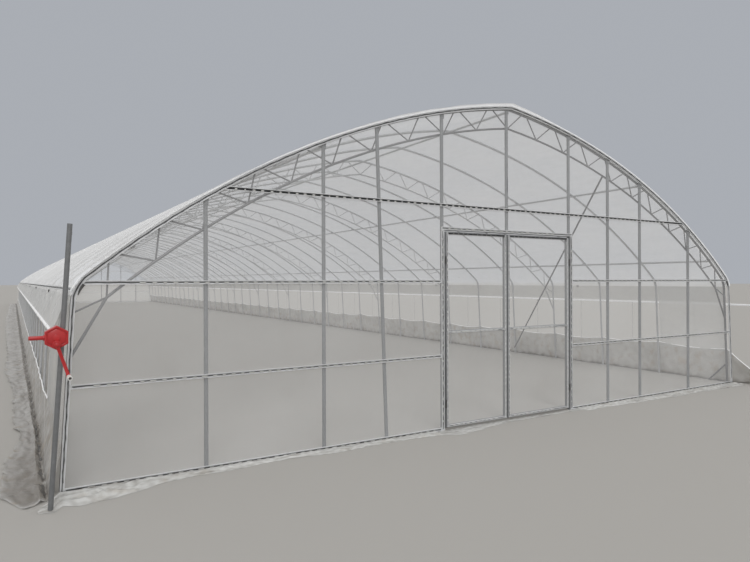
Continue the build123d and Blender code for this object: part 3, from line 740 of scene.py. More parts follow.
def lattice_rods(radius, sides):
    """The zigzag rods between chord and hoop, and the strut from the chord's bend to the leg."""
    parts = []
    pair_gap = 0.020 / ROOF_R  # half the space between two rods where they meet the hoop
    tip = ROOF_R - TUBE * 0.6
    for i in range(PANELS):
        a = chord_start + panel * i
        top = a + panel / 2
        for foot, head in ((a, top - pair_gap), (a + panel, top + pair_gap)):
            x0, z0 = on_roof(foot, CHORD_R)
            x1, z1 = on_roof(head, tip)
            parts.append(rod((x0, Y_FRONT, z0), (x1, Y_FRONT, z1), radius, sides))
    x0, z0 = on_roof(chord_end, CHORD_R)
    parts.append(rod((x0, Y_FRONT, z0), (leg_axis(STRUT_FOOT), Y_FRONT, STRUT_FOOT), radius, sides))
    return joined(parts, "lattice_rods")


half = joined([chord_half(CHORD_TUBE, 8), lattice_rods(ROD_R, 6)], "truss_half")
mirrored(half)
truss_hoop = hoop(TUBE / 2, TUBE / 2, 12, "truss_hoop")
truss = joined([truss_hoop, half], "front_lattice_arch")
smooth(truss)


def copy_behind(obj, bays, name):
    """A copy of an arch some bays farther back."""
    take(obj)
    bpy.ops.object.duplicate()
    other = bpy.context.object
    bpy.ops.transform.translate(value=(0, bays * BAY, 0))
    other.name = name
    return settle(other)


inner = repeated(copy_behind(truss, 3, "inner_lattice_arches"), GROUPS, (0, 3 * BAY, 0))
back = copy_behind(truss, BAYS, "back_lattice_arch")
place(truss, "frame", "galvanised", shaded_lattice_steel, "front_truss")
place(inner, "frame", "galvanised", steel, "truss_arches_front", "truss_arches_back")
place(back, "frame", "galvanised", steel, "back_truss")
print("lattice arches:", len(truss.data.polygons), "faces each")

# %% [markdown]
# ## Purlins, braces and posts
# Long tubes run the whole way under the hoops and are wired to them. They are plain
# round bars here, set right under the smooth hoop, with a small wire tie at every
# hoop. The wall posts are tubes that end at the hoop, each with a flat tab there.

# %% Purlins
def under_hoop(share, drop):
    """A place under the hoop's tube, by its share of the way from ridge to eave."""
    a = A_TOP + (A_EAVE - A_TOP) * share
    return on_roof(a, ROOF_R - TUBE - drop)


PURLIN_SHARES = (0.513, 0.915)
PURLIN_R = 0.007
purlin_parts = []
for share in PURLIN_SHARES:
    x, z = under_hoop(share, 0.0072)
    for side in (-1, 1):
        purlin_parts.append(rod((side * x, Y_FRONT, z), (side * x, Y_BACK, z), PURLIN_R, 10))
ridge_z = RIDGE - TUBE - 0.0085
ridge = rod((0, Y_FRONT, ridge_z), (0, Y_BACK, ridge_z), PURLIN_R, 10)
finished(purlin_parts, "side_purlins", "frame", "galvanised", steel, "roof_purlins")
finished([ridge], "ridge_purlin_tube", "frame", "galvanised", steel, "ridge_purlin")
print("purlins:", len(purlin_parts) + 1)

# %% Wire ties where the purlins cross the hoops
TIE_R = 0.0165
TIE_WIRE = 0.0012
TIE_SKEW = math.radians(38)
ties = []
for bay in range(BAYS + 1):
    for share in PURLIN_SHARES:
        x, z = under_hoop(share, 0.0)
        a = A_TOP + (A_EAVE - A_TOP) * share
        for side in (-1, 1):
            nothing_selected()
            bpy.ops.mesh.primitive_torus_add(
                location=(side * x, Y_FRONT + BAY * bay, z), rotation=(0, side * a, TIE_SKEW),
                major_segments=10, minor_segments=4, major_radius=TIE_R, minor_radius=TIE_WIRE)
            ties.append(settle(bpy.context.object))
finished(ties, "purlin_ties", "frame", "dark_steel", dark_steel)
print("ties:", len(ties))

# %% Wall posts
def hoop_height(x, drop):
    """Height of a line drop under the hoop's outside at a distance across."""
    a = math.asin((abs(x) - ARC_X) / (ROOF_R - drop))
    if a < A_EAVE:
        return ARC_Z + (ROOF_R - drop) * math.cos(a)
    r = BEND_R - drop
    return BEND_Z + math.sqrt(max(0.0, r * r - (abs(x) - BEND_X) ** 2))


HEAD_IN = 0.002
POST_SIDES = 14


def wall_post(x_foot, x_head, y, foot):
    """A post from the floor, or from the door header, to the hoop, with its tab."""
    top = hoop_height(x_head, HEAD_IN)
    tube = rod((x_foot, y, foot), (x_head, y, top), POST_R, POST_SIDES)
    flat = block((x_head - POST_R * 1.1, y - POST_R - 0.0012, top - 0.040),
                 (x_head + POST_R * 1.1, y - POST_R + 0.0012, top - 0.012), bevel=0.0006)
    return [tube, flat]


def posts(y, *places, foot=0.0):
    """Posts in a row, each given by its x, or by the x of its foot and of its head."""
    tubes = []
    for at in places:
        x_foot, x_head = at if isinstance(at, tuple) else (at, at)
        tubes += wall_post(x_foot, x_head, y, foot)
    return tubes


DOOR_X = 0.495
WALL_LEFT, WALL_RIGHT = (-1.765, -1.2025), (1.2025, 1.765)
LEANING = (-0.850, -0.905)  # its foot and its head
header_low, header_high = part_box("door_header")
header_z = (header_low.z + header_high.z) / 2
header_ends = (header_low.x, POST_Y, header_z), (header_high.x, POST_Y, header_z)
for name, node, tubes in (
        ("front_wall_posts", "front_posts", posts(POST_Y, *WALL_LEFT, 0.8675, *WALL_RIGHT, LEANING)),
        ("door_post_tubes", "door_posts", posts(POST_Y, -DOOR_X, DOOR_X)),
        ("door_header_tube", "door_header", [rod(*header_ends, POST_R, POST_SIDES)]),
        ("centre_post_tube", "centre_post", posts(POST_Y, -0.025, foot=header_z)),
        ("back_wall_posts", "back_posts",
         posts(middle_y("back_posts"), *WALL_LEFT, -DOOR_X, DOOR_X, *WALL_RIGHT))):
    finished(tubes, name, "frame", "galvanised", wall_steel, node)
print("posts stand up to", round(hoop_height(DOOR_X, HEAD_IN), 3))

# %% Long brace on the right and the short foot strut
BRACE_R = 0.006
brace_top = math.asin((0.850 - ARC_X) / CHORD_R)
brace_x, brace_z = on_roof(brace_top, CHORD_R)
for name, node, a, b in (
        ("brace_tube", "diagonal_braces", (brace_x, Y_FRONT + 0.008, brace_z),
         (leg_axis(0.06) - 0.012, Y_FRONT + 4 * BAY, 0.06)),
        ("foot_strut_tube", "foot_strut", (leg_axis(0.14), Y_FRONT + 0.012, 0.137),
         (leg_axis(0.0), Y_FRONT + 0.143, 0.006))):
    finished([rod(a, b, BRACE_R, 10)], name, "frame", "galvanised", shaded_lattice_steel, node)
print("brace starts at height", round(brace_z, 3))

# %% [markdown]
# ## Lock channels and their spring wire
# Film is held in a rolled channel with an inward lip. A zigzag spring wire is pressed
# into the channel over the film, and with the groove's painted shade it shows as a row
# of dark dashes. A channel is a bar whose front is inset and pushed in, so that two
# bright lips stand over a floor with a groove, and the groove is darkened with painted
# shade. One zigzag of wire is bent and copied along, and where a bend presses the film
# against a lip, the film stands over it in a small pale fold.

# %% Straight channel
LIP = 0.0024
GROOVE = 0.0008
SINK = 0.0052
WIRE_IN = 0.0024
FOLDS_IN_GROUP = 5
LOW_RAILS = (0.008, 0.400, 0.800)
HIGH_RAIL = 1.210


def trough(obj, front, depth, shade=0.75, ledge=0.0034, lip=LIP):
    """Pushes the faces that look along front in, and then a groove down their middle, which is marked with
    shade as the amount of painted shade there.
    """
    with edit_mode(obj):
        pick(obj, lambda f: f.normal.dot(Vector(front)) > 0.9)
        for edge, push in ((lip, depth), (ledge, GROOVE)):
            bpy.ops.mesh.inset(thickness=edge, use_even_offset=True)
            drawn(Vector(front) * -push)
    # The groove's faces carry shade as the deep mark, for painted shade in the channel's material.
    return marked(obj, "deep", "FACE", [shade if f.select else 0.0 for f in obj.data.polygons])


def pinches(a, b, size, wave=SPRING_WAVE):
    """Small folds of film that stand over the wire at each of its bends, from a to b."""
    a, b = Vector(a), Vector(b)
    run = b - a
    count = max(1, round(run.length / wave)) * 2
    step = run / count
    size = Vector(size)
    group = min(FOLDS_IN_GROUP, count - 1)
    groups = (count - 1) // group
    along = run.normalized()
    folds = []
    for k in range(group):
        longer = 0.95 + 0.9 * ripple(k * 1.37, size.x * 90, 4.2)
        half = Vector([d * (longer if abs(r) > 0.5 else 1) / 2 for d, r in zip(size, along)])
        middle = a + step * (k + 1) + along * 0.004 * ripple(k * 2.1, 7.7, size.z * 80)
        folds.append(block(middle - half, middle + half, bevel=0.0010))
    fold = joined(folds, "folds")
    return repeated(fold, groups, step * group) if groups > 1 else fold


def zigzag(a, b, swing, front, radius=0.0013, wave=SPRING_WAVE):
    """Spring wire from a to b, bent to and fro across the channel."""
    a, b = Vector(a), Vector(b)
    run = b - a
    count = max(1, round(run.length / wave))
    along = run / count
    across = run.normalized().cross(Vector(front)) * swing
    one = rod(a - across, a + along / 2 + across, radius, 5)
    two = rod(a + along / 2 + across, a + along - across, radius, 5)
    unit = joined([one, two], "zigzag")
    return repeated(unit, count, along)


def channel_bar(a, b, y_front, y_back, wide):
    """The solid bar of a channel whose middle line runs from a to b."""
    along = (b - a).normalized()
    across = Vector((abs(along.z), 0, abs(along.x))) * (wide / 2)
    low = Vector((min(a.x, b.x), y_front, min(a.z, b.z))) - across
    return block(low, Vector((max(a.x, b.x), y_back, max(a.z, b.z))) + across)


def channel_run(parts, wires, folds, a, b, front=(0, -1, 0), shade=0.75, fold_long=0.018, ledge=0.0034):
    """A channel from a to b on an end wall, with the wire and the pinched film in it, and painted shade in
    its groove.
    """
    a, b = Vector(a), Vector(b)
    along = (b - a).normalized()
    y_front, y_back = (RAIL_FRONT, RAIL_BACK) if front[1] < 0 else (a.y - 0.004, a.y + 0.004)
    parts.append(trough(channel_bar(a, b, y_front, y_back, 2 * RAIL_HALF), front, SINK, shade, ledge))
    y = (y_front if front[1] < 0 else y_back) - front[1] * WIRE_IN
    start = Vector((a.x, y, a.z)) + along * 0.010
    stop = Vector((b.x, y, b.z)) - along * (0.040 if abs(b.z - HIGH_RAIL) < 0.01 else 0.010)
    wires.append(zigzag(start, stop, 0.0016, front))
    upright = abs(along.z) > 0.5
    size = (0.0066, 0.0040, fold_long) if upright else (fold_long, 0.0040, 0.0062)
    face = Vector((0, front[1] * 0.0002, 0 if upright else -0.0014))
    folds.append(pinches(start + face, stop + face, size))


HOOP_CHANNEL_IN = 0.0166


def rail_end(z):
    """How far out the inside of the hoop's channel is at a height."""
    s = 0.0
    while rib(s, -HOOP_CHANNEL_IN)[1] > z:
        s += 0.002
    return rib(s, -HOOP_CHANNEL_IN)[0]


def slanted(obj, z):
    """Cuts the outer ends of a rail to the slant of the hoop's channel."""
    far, near = rail_end(z - RAIL_HALF), rail_end(z + RAIL_HALF)
    for v in obj.data.vertices:
        if abs(v.co.x) > far - 0.006:
            rise = (v.co.z - (z - RAIL_HALF)) / (2 * RAIL_HALF)
            v.co.x -= math.copysign((far - near) * rise, v.co.x)


def channels_placed(parts, wires, folds, stem, body, node):
    """Joins the channels of a wall or leaf, their wires and their pinched film, and places all three."""
    place(joined(parts, stem + "_channels"), body, "channel", bright, node)
    finished(wires, stem + "_wires", body, "dark_steel", wire)
    finished(folds, stem + "_pinches", body, "clear_film", fold_finish, angle=FILM_ANGLE)
    print(stem, "channels:", len(parts))


runs = [], [], []
rail_y = (RAIL_FRONT + RAIL_BACK) / 2
inner_x = SURROUND_X + FIT
for side in (-1, 1):
    for z in LOW_RAILS:
        end_x = side * rail_end(z - RAIL_HALF)
        channel_run(*runs, (side * inner_x, rail_y, z), (end_x, rail_y, z))
        slanted(runs[0][-1], z)
# The high rail gets a wide groove that is fully dark with painted shade.
end_x = rail_end(HIGH_RAIL - RAIL_HALF)
channel_run(*runs, (-end_x, rail_y, HIGH_RAIL), (end_x, rail_y, HIGH_RAIL),
            shade=1.0, fold_long=0.012, ledge=0.0006)
slanted(runs[0][-1], HIGH_RAIL)
channels_placed(*runs, "front_rail", "frame", "front_rails")

# %% Channels round the doorway
runs = [], [], []
top_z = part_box("door_channels")[1].z
side_x = SURROUND_X - RAIL_HALF
# Each channel of the doorway gets its own amount of painted shade in its groove.
for side in (-1, 1):
    foot, head = (side * side_x, rail_y, 0.0), (side * side_x, rail_y, top_z - 0.0165)
    channel_run(*runs, foot, head, shade=0.85, fold_long=0.010)
across_z = top_z - RAIL_HALF
channel_run(*runs, (-SURROUND_X, rail_y, across_z), (SURROUND_X, rail_y, across_z), shade=0.55)
channels_placed(*runs, "doorway", "frame", "door_channels")

# %% Bent channel on the hoop
def bent_channel(y_back, y_front, name):
    """A channel bent to the hoop, open on its front, with a groove along its floor that is marked for painted
    shade.
    """
    flip = -1 if y_front < y_back else 1
    deep, floor_in, ledge_in = abs(y_front - y_back), 0.0020, 0.0028
    ring = ((-0.0003, 0), (-0.0003, deep), (-0.0027, deep), (-0.0027, ledge_in),
            (-0.0064, ledge_in), (-0.0064, floor_in), (-0.0102, floor_in), (-0.0102, ledge_in),
            (-0.0139, ledge_in), (-0.0139, deep), (-0.0163, deep), (-0.0163, 0))
    nothing_selected()
    bpy.ops.mesh.primitive_circle_add(vertices=len(ring), radius=0.01, location=(0, 0, 0))
    obj = bpy.context.object
    obj.name = name
    for v, (out_by, forward) in zip(obj.data.vertices, ring):
        v.co = Vector((HALF + out_by / math.cos(LEAN), y_back + flip * forward, 0))
    rolled_to_arch(obj, (y_back + y_front) / 2, 8, 30)
    floor_y = y_back + flip * floor_in

    def on_floor(face):
        return abs(face.center.y - floor_y) < 0.0003 and abs(face.normal.y) > 0.9
    # The groove on the floor is marked for painted shade.
    return marked(obj, "deep", "FACE", [0.85 if on_floor(f) else 0.0 for f in obj.data.polygons])


def bent_zigzag(y, name):
    """The same spring wire round the hoop, one bend after the other along the arch line."""
    parts = []
    mid, swing, first = -0.0083, 0.0018, 0.004
    count = int((ROOF_LONG + BEND_LONG + LEG_LONG - 0.01) / SPRING_WAVE)
    for i in range(count):
        s = first + i * SPRING_WAVE
        bends = [(x, y, z) for x, z in (rib(s, mid - swing), rib(s + SPRING_WAVE / 2, mid + swing),
                                        rib(s + SPRING_WAVE, mid - swing))]
        parts += [rod(a, b, 0.0014, 5) for a, b in zip(bends, bends[1:])]
    obj = joined(parts, name)
    return mirrored(obj)


hoop_channel = bent_channel(RAIL_BACK, RAIL_FRONT, "front_hoop_channel")
place(hoop_channel, "frame", "channel", bright, "front_arch_channel")
hoop_wire = bent_zigzag(RAIL_FRONT + 0.0022, "front_hoop_wire")
smooth(hoop_wire)
place(hoop_wire, "frame", "dark_steel", wire)
print("hoop channel faces:", len(hoop_channel.data.polygons), "wire faces:", len(hoop_wire.data.polygons))

# %% Channels on the back wall
back_low, back_high = (corner.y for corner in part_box("back_rails"))
runs = [], [], []
for z in LOW_RAILS + (HIGH_RAIL,):
    end_x, y = rail_end(z - RAIL_HALF), (back_low + back_high) / 2
    channel_run(*runs, (-end_x, y, z), (end_x, y, z), (0, 1, 0))
    slanted(runs[0][-1], z)
channels_placed(*runs, "back_rail", "frame", "back_rails")
back_channel = bent_channel(back_low, back_high, "back_hoop_channel")
place(back_channel, "frame", "channel", bright, "back_arch_channel")

# %% [markdown]
# ## The roof film
# One sheet goes over every hoop from eave to eave. It is a grid laid on the arch line.
# Between hoops it sags a few millimetres, it has fine creases that start at the hoops
# and run down the slope, and its front edge is pulled down over the first hoop.

# %% Roof sheet
def sheet(name, nu, nv, where, dirt=None):
    """A grid of nu by nv faces, each corner put where the function says, and marked with soil and painted
    shade if asked.
    """
    nothing_selected()
    bpy.ops.mesh.primitive_grid_add(x_subdivisions=nu, y_subdivisions=nv, size=1, calc_uvs=True)
    obj = bpy.context.object
    obj.name = name
    obj.data.name = name
    spots = [(v.co.x + 0.5, v.co.y + 0.5) for v in obj.data.vertices]
    for v, spot in zip(obj.data.vertices, spots):
        v.co = Vector(where(*spot))
    if dirt:
        marked(obj, "dirt", "POINT", [max(0.0, min(1.0, dirt(*spot))) for spot in spots])
    return smooth(obj, FILM_ANGLE)


def wave(x, y, z, scale, size):
    """Noise of one scale and size, for creases of different lengths."""
    return noise.noise(Vector((x, y, z)) * scale) * size


Y_HEM = RAIL_FRONT - 0.003
Y_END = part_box("roof_film")[1].y


def roof_point(u, v):
    """The roof film: it sags and creases between the hoops and lies close on them."""
    s = (u - 0.5) * 2 * FILM_END
    y = Y_HEM + (Y_END - Y_HEM) * v
    bay = (y - Y_FRONT) / BAY
    inside = 0 <= bay <= BAYS
    between = abs(math.sin(math.pi * bay)) if inside else 0
    sag = 0.0026 * between ** 0.8 * (1 - 0.4 * (abs(s) / FILM_END) ** 4)
    crease = wave(s * 0.6, y * 1.0, 0, 5.0, 0.0030) + wave(s * 2.2, y * 0.9, 4, 9.0, 0.0012)
    ridges = 0.0005 * math.sin(s * 46 + 3 * math.sin(y * 2.1)) * between
    out_by = 0.0013 - sag + (crease + ridges) * between
    x, z = rib(s, min(out_by, 0.0020))
    return x, y, z


roof = sheet("roof_sheet", 132, 368, roof_point)
place(roof, "frame", "roof_film", roof_finish, "roof_film")
print("roof sheet:", len(roof.data.polygons), "faces", round(2 * FILM_END, 3), "m over the hoops")

# %% The doubled edge that stands out over the front hoop
EDGE_BACK = Y_FRONT + 0.030
EDGE_OUT = 0.022


def roof_edge_point(u, v):
    """The doubled edge: wide and puffed on the left, hardly out on the right."""
    s = (u - 0.5) * 2 * FILM_END * 0.998
    frayed = wave(s, 3, 0, 2.2, 0.014) + wave(s, 5, 0, 11, 0.005)
    reach = 1 - 0.86 * min(1.0, max(0.0, s / 0.5 + 0.1))
    front = RAIL_FRONT - max(0.004, (EDGE_OUT + frayed) * reach)
    y = EDGE_BACK + (front - EDGE_BACK) * v
    puff = wave(s, v * 0.2, 2, 1.6, 0.008) + wave(s, v * 0.3, 6, 7, 0.003)
    out_by = 0.0030 + v ** 1.6 * max(0.002, 0.0085 + puff) * max(0.1, reach)
    x, z = rib(s, out_by)
    return x, y, z


roof_edge = sheet("roof_front_edge", 360, 6, roof_edge_point)
place(roof_edge, "frame", "roof_film", edge_finish)
print("edge of doubled film:", len(roof_edge.data.polygons), "faces")

# %% [markdown]
# ## The clear sheets of the front wall
# The end wall is closed with clear film between the posts and the channels. It is
# stretched, so it stays almost flat, with long shallow waves in the middle of each
# field and finer ones near the rails. Each sheet is a grid fitted between its four
# edges, and the waves die out where a post or a rail holds the film.

# %% Patch between four edges
def patch(bottom, top, left, right):
    """A point of the sheet whose four edges are given as functions from 0 to 1."""
    def where(u, v):
        b0, b1 = Vector(bottom(0)), Vector(bottom(1))
        t0, t1 = Vector(top(0)), Vector(top(1))
        p = Vector(bottom(u)) * (1 - v) + Vector(top(u)) * v
        p += Vector(left(v)) * (1 - u) + Vector(right(v)) * u
        p -= b0 * ((1 - u) * (1 - v)) + b1 * (u * (1 - v)) + t0 * ((1 - u) * v) + t1 * (u * v)
        return p
    return where


HELD_X = (DOOR_X, 0.8675, *WALL_RIGHT)
HELD_Z = LOW_RAILS + (HIGH_RAIL,)
UNDER_HOOP = 0.0015
SHEET_FOOT = 0.001


def slack(x, z, y_seed):
    """How far the wall film bulges at a place: nothing where it is held."""
    dx = min(abs(abs(x) - h) for h in HELD_X)
    dz = min(abs(z - h) for h in HELD_Z)
    free = min(1.0, dx / 0.10) * min(1.0, dz / 0.08)
    long_wave = ripple(x * 2.2, y_seed, z * 5.5) * 0.0045
    crease = ripple(x * 16, y_seed + 3, z * 4) * 0.0014
    return free * (long_wave + crease)


def wall_sheet(name, side, y, inner_at, nu=72, nv=64):
    """The film of one side of an end wall, from inner_at out to the hoop."""
    top_start = math.asin((inner_at - ARC_X) / ROOF_R)
    foot_x = HALF - UNDER_HOOP

    def bottom(u):
        return inner_at + (foot_x - inner_at) * u, SHEET_FOOT

    def top(u):
        return on_roof(top_start + (A_EAVE - top_start) * u, ROOF_R - UNDER_HOOP)

    def left(v):
        return inner_at, SHEET_FOOT + (top(0)[1] - SHEET_FOOT) * v

    def right(v):
        s = ROOF_LONG + (BEND_LONG + LEG_LONG) * (1 - v)
        px, pz = rib(s, -UNDER_HOOP)
        return px, max(pz, SHEET_FOOT)

    flat_patch = patch(bottom, top, left, right)

    def where(u, v):
        p = flat_patch(u, v)
        return side * p.x, y + slack(p.x, p.y, 5 * side), p.y
    return sheet(name, nu, nv, where)


def cut_area(obj):
    """The area of film in a sheet."""
    return sum(p.area for p in obj.data.polygons)


for side, word in WORDS.items():
    film = wall_sheet("front_sheet_" + word, side, FILM_Y, DOOR_X)
    place(film, "frame", "clear_film", front_finish, "front_film_" + word)
    print(film.name, "area", round(cut_area(film), 3))

# %% The sheet over the doorway and the back wall
over_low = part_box("front_film_over_door")[0].z


def over_point(u, v):
    """The film over the doorway, from the header up to the hoop."""
    x = (2 * u - 1) * DOOR_X
    z = over_low + (hoop_height(x, UNDER_HOOP) - over_low) * v
    return x, FILM_Y + slack(x, z, 9), z


over = sheet("front_sheet_over_door", 40, 28, over_point)
place(over, "frame", "clear_film", front_finish, "front_film_over_door")

halves = [wall_sheet("back_half", side, middle_y("back_film"), 0.0, 60, 48) for side in (-1, 1)]
back_sheet = joined(halves, "back_sheet")
with edit_mode(back_sheet):
    bpy.ops.mesh.select_all(action="SELECT")
    bpy.ops.mesh.remove_doubles(threshold=0.0002)
place(back_sheet, "frame", "clear_film", front_finish, "back_film")
print("back sheet area", round(cut_area(back_sheet), 2))

# %% [markdown]
# ## Side curtains, corner sheets and skirts
# From the eave channel a curtain hangs to a long tube, which is rolled up by the
# winder to let air in. It is gathered in soft upright folds. Below the vent a low
# skirt is clipped to the legs, sags between them and runs out over the ground, where
# its edge is torn. Behind the front corner a fixed sheet covers the first bays.

# %% Curtains and the rolled tubes
roll_low, roll_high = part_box("left_roll_tube")
ROLL_X = -(roll_low.x + roll_high.x) / 2
ROLL_Z = (roll_low.z + roll_high.z) / 2
ROLL_R = (roll_high.x - roll_low.x) / 2
eave_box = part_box("eave_channels")
hang_x, hang_z = rib(ROOF_LONG + BEND_LONG * 0.62, 0.0095)


def curtain_point(side):
    """A curtain: long soft folds that open in the middle and close at the channel and the roll."""
    def where(u, v):
        y = Y_FRONT + 0.010 + (Y_BACK - Y_FRONT - 0.02) * u
        x0, z0 = hang_x, hang_z - 0.004
        x1, z1 = ROLL_X + 0.001, ROLL_Z + ROLL_R
        fold = ripple(y * 7.5, side, v * 1.2) * 0.0075 + ripple(y * 21, side + 3, v * 2.0) * 0.0028
        fold *= math.sin(math.pi * min(1, v * 1.1)) ** 0.7 if v < 0.9 else 3 * (1 - v)
        return side * (x0 + (x1 - x0) * v + fold), y, z0 + (z1 - z0) * v
    return where


for side, word in WORDS.items():
    curtain = sheet(word + "_curtain_sheet", 700, 10, curtain_point(side))
    place(curtain, "frame", "milky_film", side_finish, word + "_curtain")

# %% Film rolled on the tubes
def rolled(side, word):
    """The roll of film: a closed bar with many rings, each corner moved in or out a little."""
    low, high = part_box(word + "_roll_tube")
    obj = turned(14, ROLL_R * 0.9, side * ROLL_X, (low.y + high.y) / 2, ROLL_Z, high.y - low.y)
    with edit_mode(obj):
        pick(obj, lambda e: edge_run(e) > 1, edges=True)
        bpy.ops.mesh.subdivide(number_cuts=420)
    for v in obj.data.vertices:
        away_x, away_z = v.co.x - side * ROLL_X, v.co.z - ROLL_Z
        n = math.hypot(away_x, away_z) or 1
        turn_at = math.atan2(away_z, away_x)
        grow = ripple(v.co.y * 6, turn_at * 0.8, side) * 0.0016
        grow += 0.0009 * math.sin(v.co.y * 14 + turn_at)
        if v.co.y < Y_FRONT:
            grow = -0.0022
        v.co.x += away_x / n * grow
        v.co.z += away_z / n * grow
    obj.name = word + "_film_roll"
    return smooth(obj, FILM_ANGLE)


for side, word in WORDS.items():
    roll = rolled(side, word)
    place(roll, "frame", "rolled_film", rolled_finish, word + "_roll_tube")
print("rolls made, radius", round(ROLL_R, 4))

# %% Eave channels with wire
def eave_channel(side):
    """The channel under the eave that holds roof film and curtain, and its spring wire."""
    a0, a1 = rib(ROOF_LONG + BEND_LONG * 0.55, 0.0028), rib(ROOF_LONG + BEND_LONG * 0.69, 0.0028)
    mid = Vector(((a0[0] + a1[0]) / 2, 0, (a0[1] + a1[1]) / 2))
    down = Vector((a1[0] - a0[0], 0, a1[1] - a0[1])).normalized()
    outside = Vector((-down.z, 0, down.x))
    y0, y1 = eave_box[0].y, eave_box[1].y
    nothing_selected()
    bpy.ops.mesh.primitive_cube_add(size=1, location=(0, 0, 0))
    bar = bpy.context.object
    bar.scale = (0.0072, y1 - y0, 0.016)
    settle(bar)
    # Its groove is marked for a light painted shade.
    trough(bar, (1, 0, 0), 0.005, 0.30)
    centre = mid + outside * 0.0038
    bar.rotation_euler = (0, math.atan2(-outside.z, outside.x), 0)
    bar.location = (centre.x, (y0 + y1) / 2, centre.z)
    settle(bar)
    face = mid + outside * 0.0060
    spring = zigzag((face.x, y0 + 0.01, face.z), (face.x, y1 - 0.01, face.z), 0.0034, outside, 0.0008)
    if side < 0:
        for obj in (bar, spring):
            take(obj)
            bpy.ops.transform.resize(value=(-1, 1, 1), center_override=(0, 0, 0))
            settle(obj)
            outward(obj)
    return bar, spring


bars, springs = zip(*(eave_channel(side) for side in (-1, 1)))
place(joined(bars, "eave_lock_channels"), "frame", "channel", bright, "eave_channels")
eave_springs = finished(springs, "eave_lock_wires", "frame", "dark_steel", wire)
print("eave wires:", len(eave_springs.data.polygons), "faces")

# %% Skirts: how high they stand and how far they run out
WALL_PART = 0.44
RUN_OUT = ((-0.16, 0.188), (0.52, 0.185), (0.80, 0.130), (0.95, 0.118), (1.40, 0.150), (2.50, 0.146),
           (3.70, 0.216), (5.00, 0.200), (7.90, 0.244), (12.50, 0.285), (24.0, 0.250))
LEFT_START = ((0.0, -0.012), (WALL_PART, -0.100), (0.72, -0.156), (1.0, 0.0))
RIGHT_START = ((0.0, -0.165), (WALL_PART, -0.180), (0.75, -0.190), (1.0, -0.060))
FILM_UP = 0.0014


def reading(corners, at):
    """Reads a value off a bent line that is given by its corners."""
    for (a, low), (b, high) in zip(corners, corners[1:]):
        if at <= b:
            return low + (high - low) * max(0.0, (at - a) / (b - a))
    return corners[-1][1]


def flared(d):
    """How far the right skirt's end in front of the hoop is turned out, from 0 to 1."""
    return max(0.0, min(1.0, -d / 0.165))


def mid_bay(d):
    """0 at a hoop and 1 midway between two."""
    return abs(math.sin(math.pi * d / BAY))


def bell(x, middle, width):
    """1 at the middle, falling off to nothing on both sides."""
    return math.exp(-((x - middle) / width) ** 2)


def skirt_edge(side, d):
    """Height of the skirt's top, where its foot creases and where it ends, d behind the front hoop."""
    dip = mid_bay(d)
    torn = ripple(d * 7.0, 3, side) * 0.020 + ripple(d * 24, 4, side) * 0.008
    if side < 0:
        top = 0.182 - 0.012 * dip + ripple(d * 0.9, 1, 0) * 0.022 + ripple(d * 8, 1, 5) * 0.008
        return top, 0.040, min(0.322, reading(RUN_OUT, d) + torn)
    top = 0.262 - 0.018 * dip + ripple(d * 0.8, 5, 0) * 0.018
    flare = flared(d)
    top += (0.105 - top) * flare
    return top, 0.022 + 0.040 * flare, 0.125 + ripple(d * 1.1, 6, 0) * 0.040 + torn


def skirt_place(side, u, v):
    """How far behind the front hoop a place of the skirt is. Steps are finer near the front."""
    start = Y_FRONT + reading(LEFT_START if side < 0 else RIGHT_START, v)
    return start + (Y_BACK - 0.008 - start) * (0.4 * u + 0.6 * u * u) - Y_FRONT


def skirt_point(side):
    """A skirt: up the legs in its first part, then out over the ground in rucks."""
    def where(u, v):
        d = skirt_place(side, u, v)
        y = Y_FRONT + d
        top, foot, far = skirt_edge(side, d)
        leg = HALF + 0.0018
        hollow = mid_bay(d) if d > 0 else 0.4
        turned_out = 0.045 * flared(d) if side > 0 else 0.0
        if v < WALL_PART:
            t = v / WALL_PART
            z = top * (1 - t)
            folds = ripple(y * 9, z * 14, side) * 0.005 + ripple(y * 31, z * 6, side) * 0.0028
            bulge = 0.008 * hollow * math.sin(math.pi * t) + foot * t ** 1.8 + folds * min(1.0, hollow + t)
            return side * (leg - z * math.tan(LEAN) + max(0.0, bulge) + turned_out), y, z + FILM_UP
        t = (v - WALL_PART) / (1 - WALL_PART)
        x = leg + foot + (far - foot) * t + turned_out * (1 - t)
        ruck = abs(ripple(y * 6, t * 2.4, side * 4)) * 0.020
        ruck += abs(ripple(y * 22, t * 5, side)) * 0.004
        ridge = 0.020 * bell(t, 0.16, 0.07) * (0.6 + ripple(y * 12, 2, side))
        hem_curl = 0.006 * bell(t, 1, 0.05) * (0.8 + ripple(y * 15, 7, side))
        z = FILM_UP + ruck * min(1.0, t * 6) * (1 - 0.6 * t) + max(0.0, ridge) + max(0.0, hem_curl)
        return side * x, y + ripple(y * 5, t * 4, 9) * 0.01 * t, z
    return where


def skirt_soil_and_shade(side):
    """Clean at its edges, earthy where it lies flat, and black with painted shade in the crease at its foot.
    """
    def dirt(u, v):
        d = skirt_place(side, u, v)
        patch_at = ripple(d * 2.6, v * 4.0, side * 7)
        fine = ripple(d * 19, v * 13, side)
        if v < WALL_PART:
            t = v / WALL_PART
            standing = (0.26 if side < 0 else 0.10) + 0.30 * patch_at + 0.20 * fine
            # Near the foot the standing part goes black: painted shade.
            return standing + (0.62 + 0.5 * fine) * t ** 9 - 0.3 * bell(t, 0, 0.06)
        t = (v - WALL_PART) / (1 - WALL_PART)
        # The crease at the foot is pushed to black: painted shade.
        crease = bell(t, 0, 0.09) * (0.75 + 1.3 * fine)
        near = bell(d, 0, 0.6) if side < 0 else 0.0
        lying = (0.42 if side < 0 else 0.22) + 0.34 * near + (0.30 - 0.2 * near) * patch_at + 0.16 * fine
        edge = min(1.0, (1 - t) / 0.20) ** 0.7 * min(1.0, u * 260)
        return lying * edge + crease
    return dirt


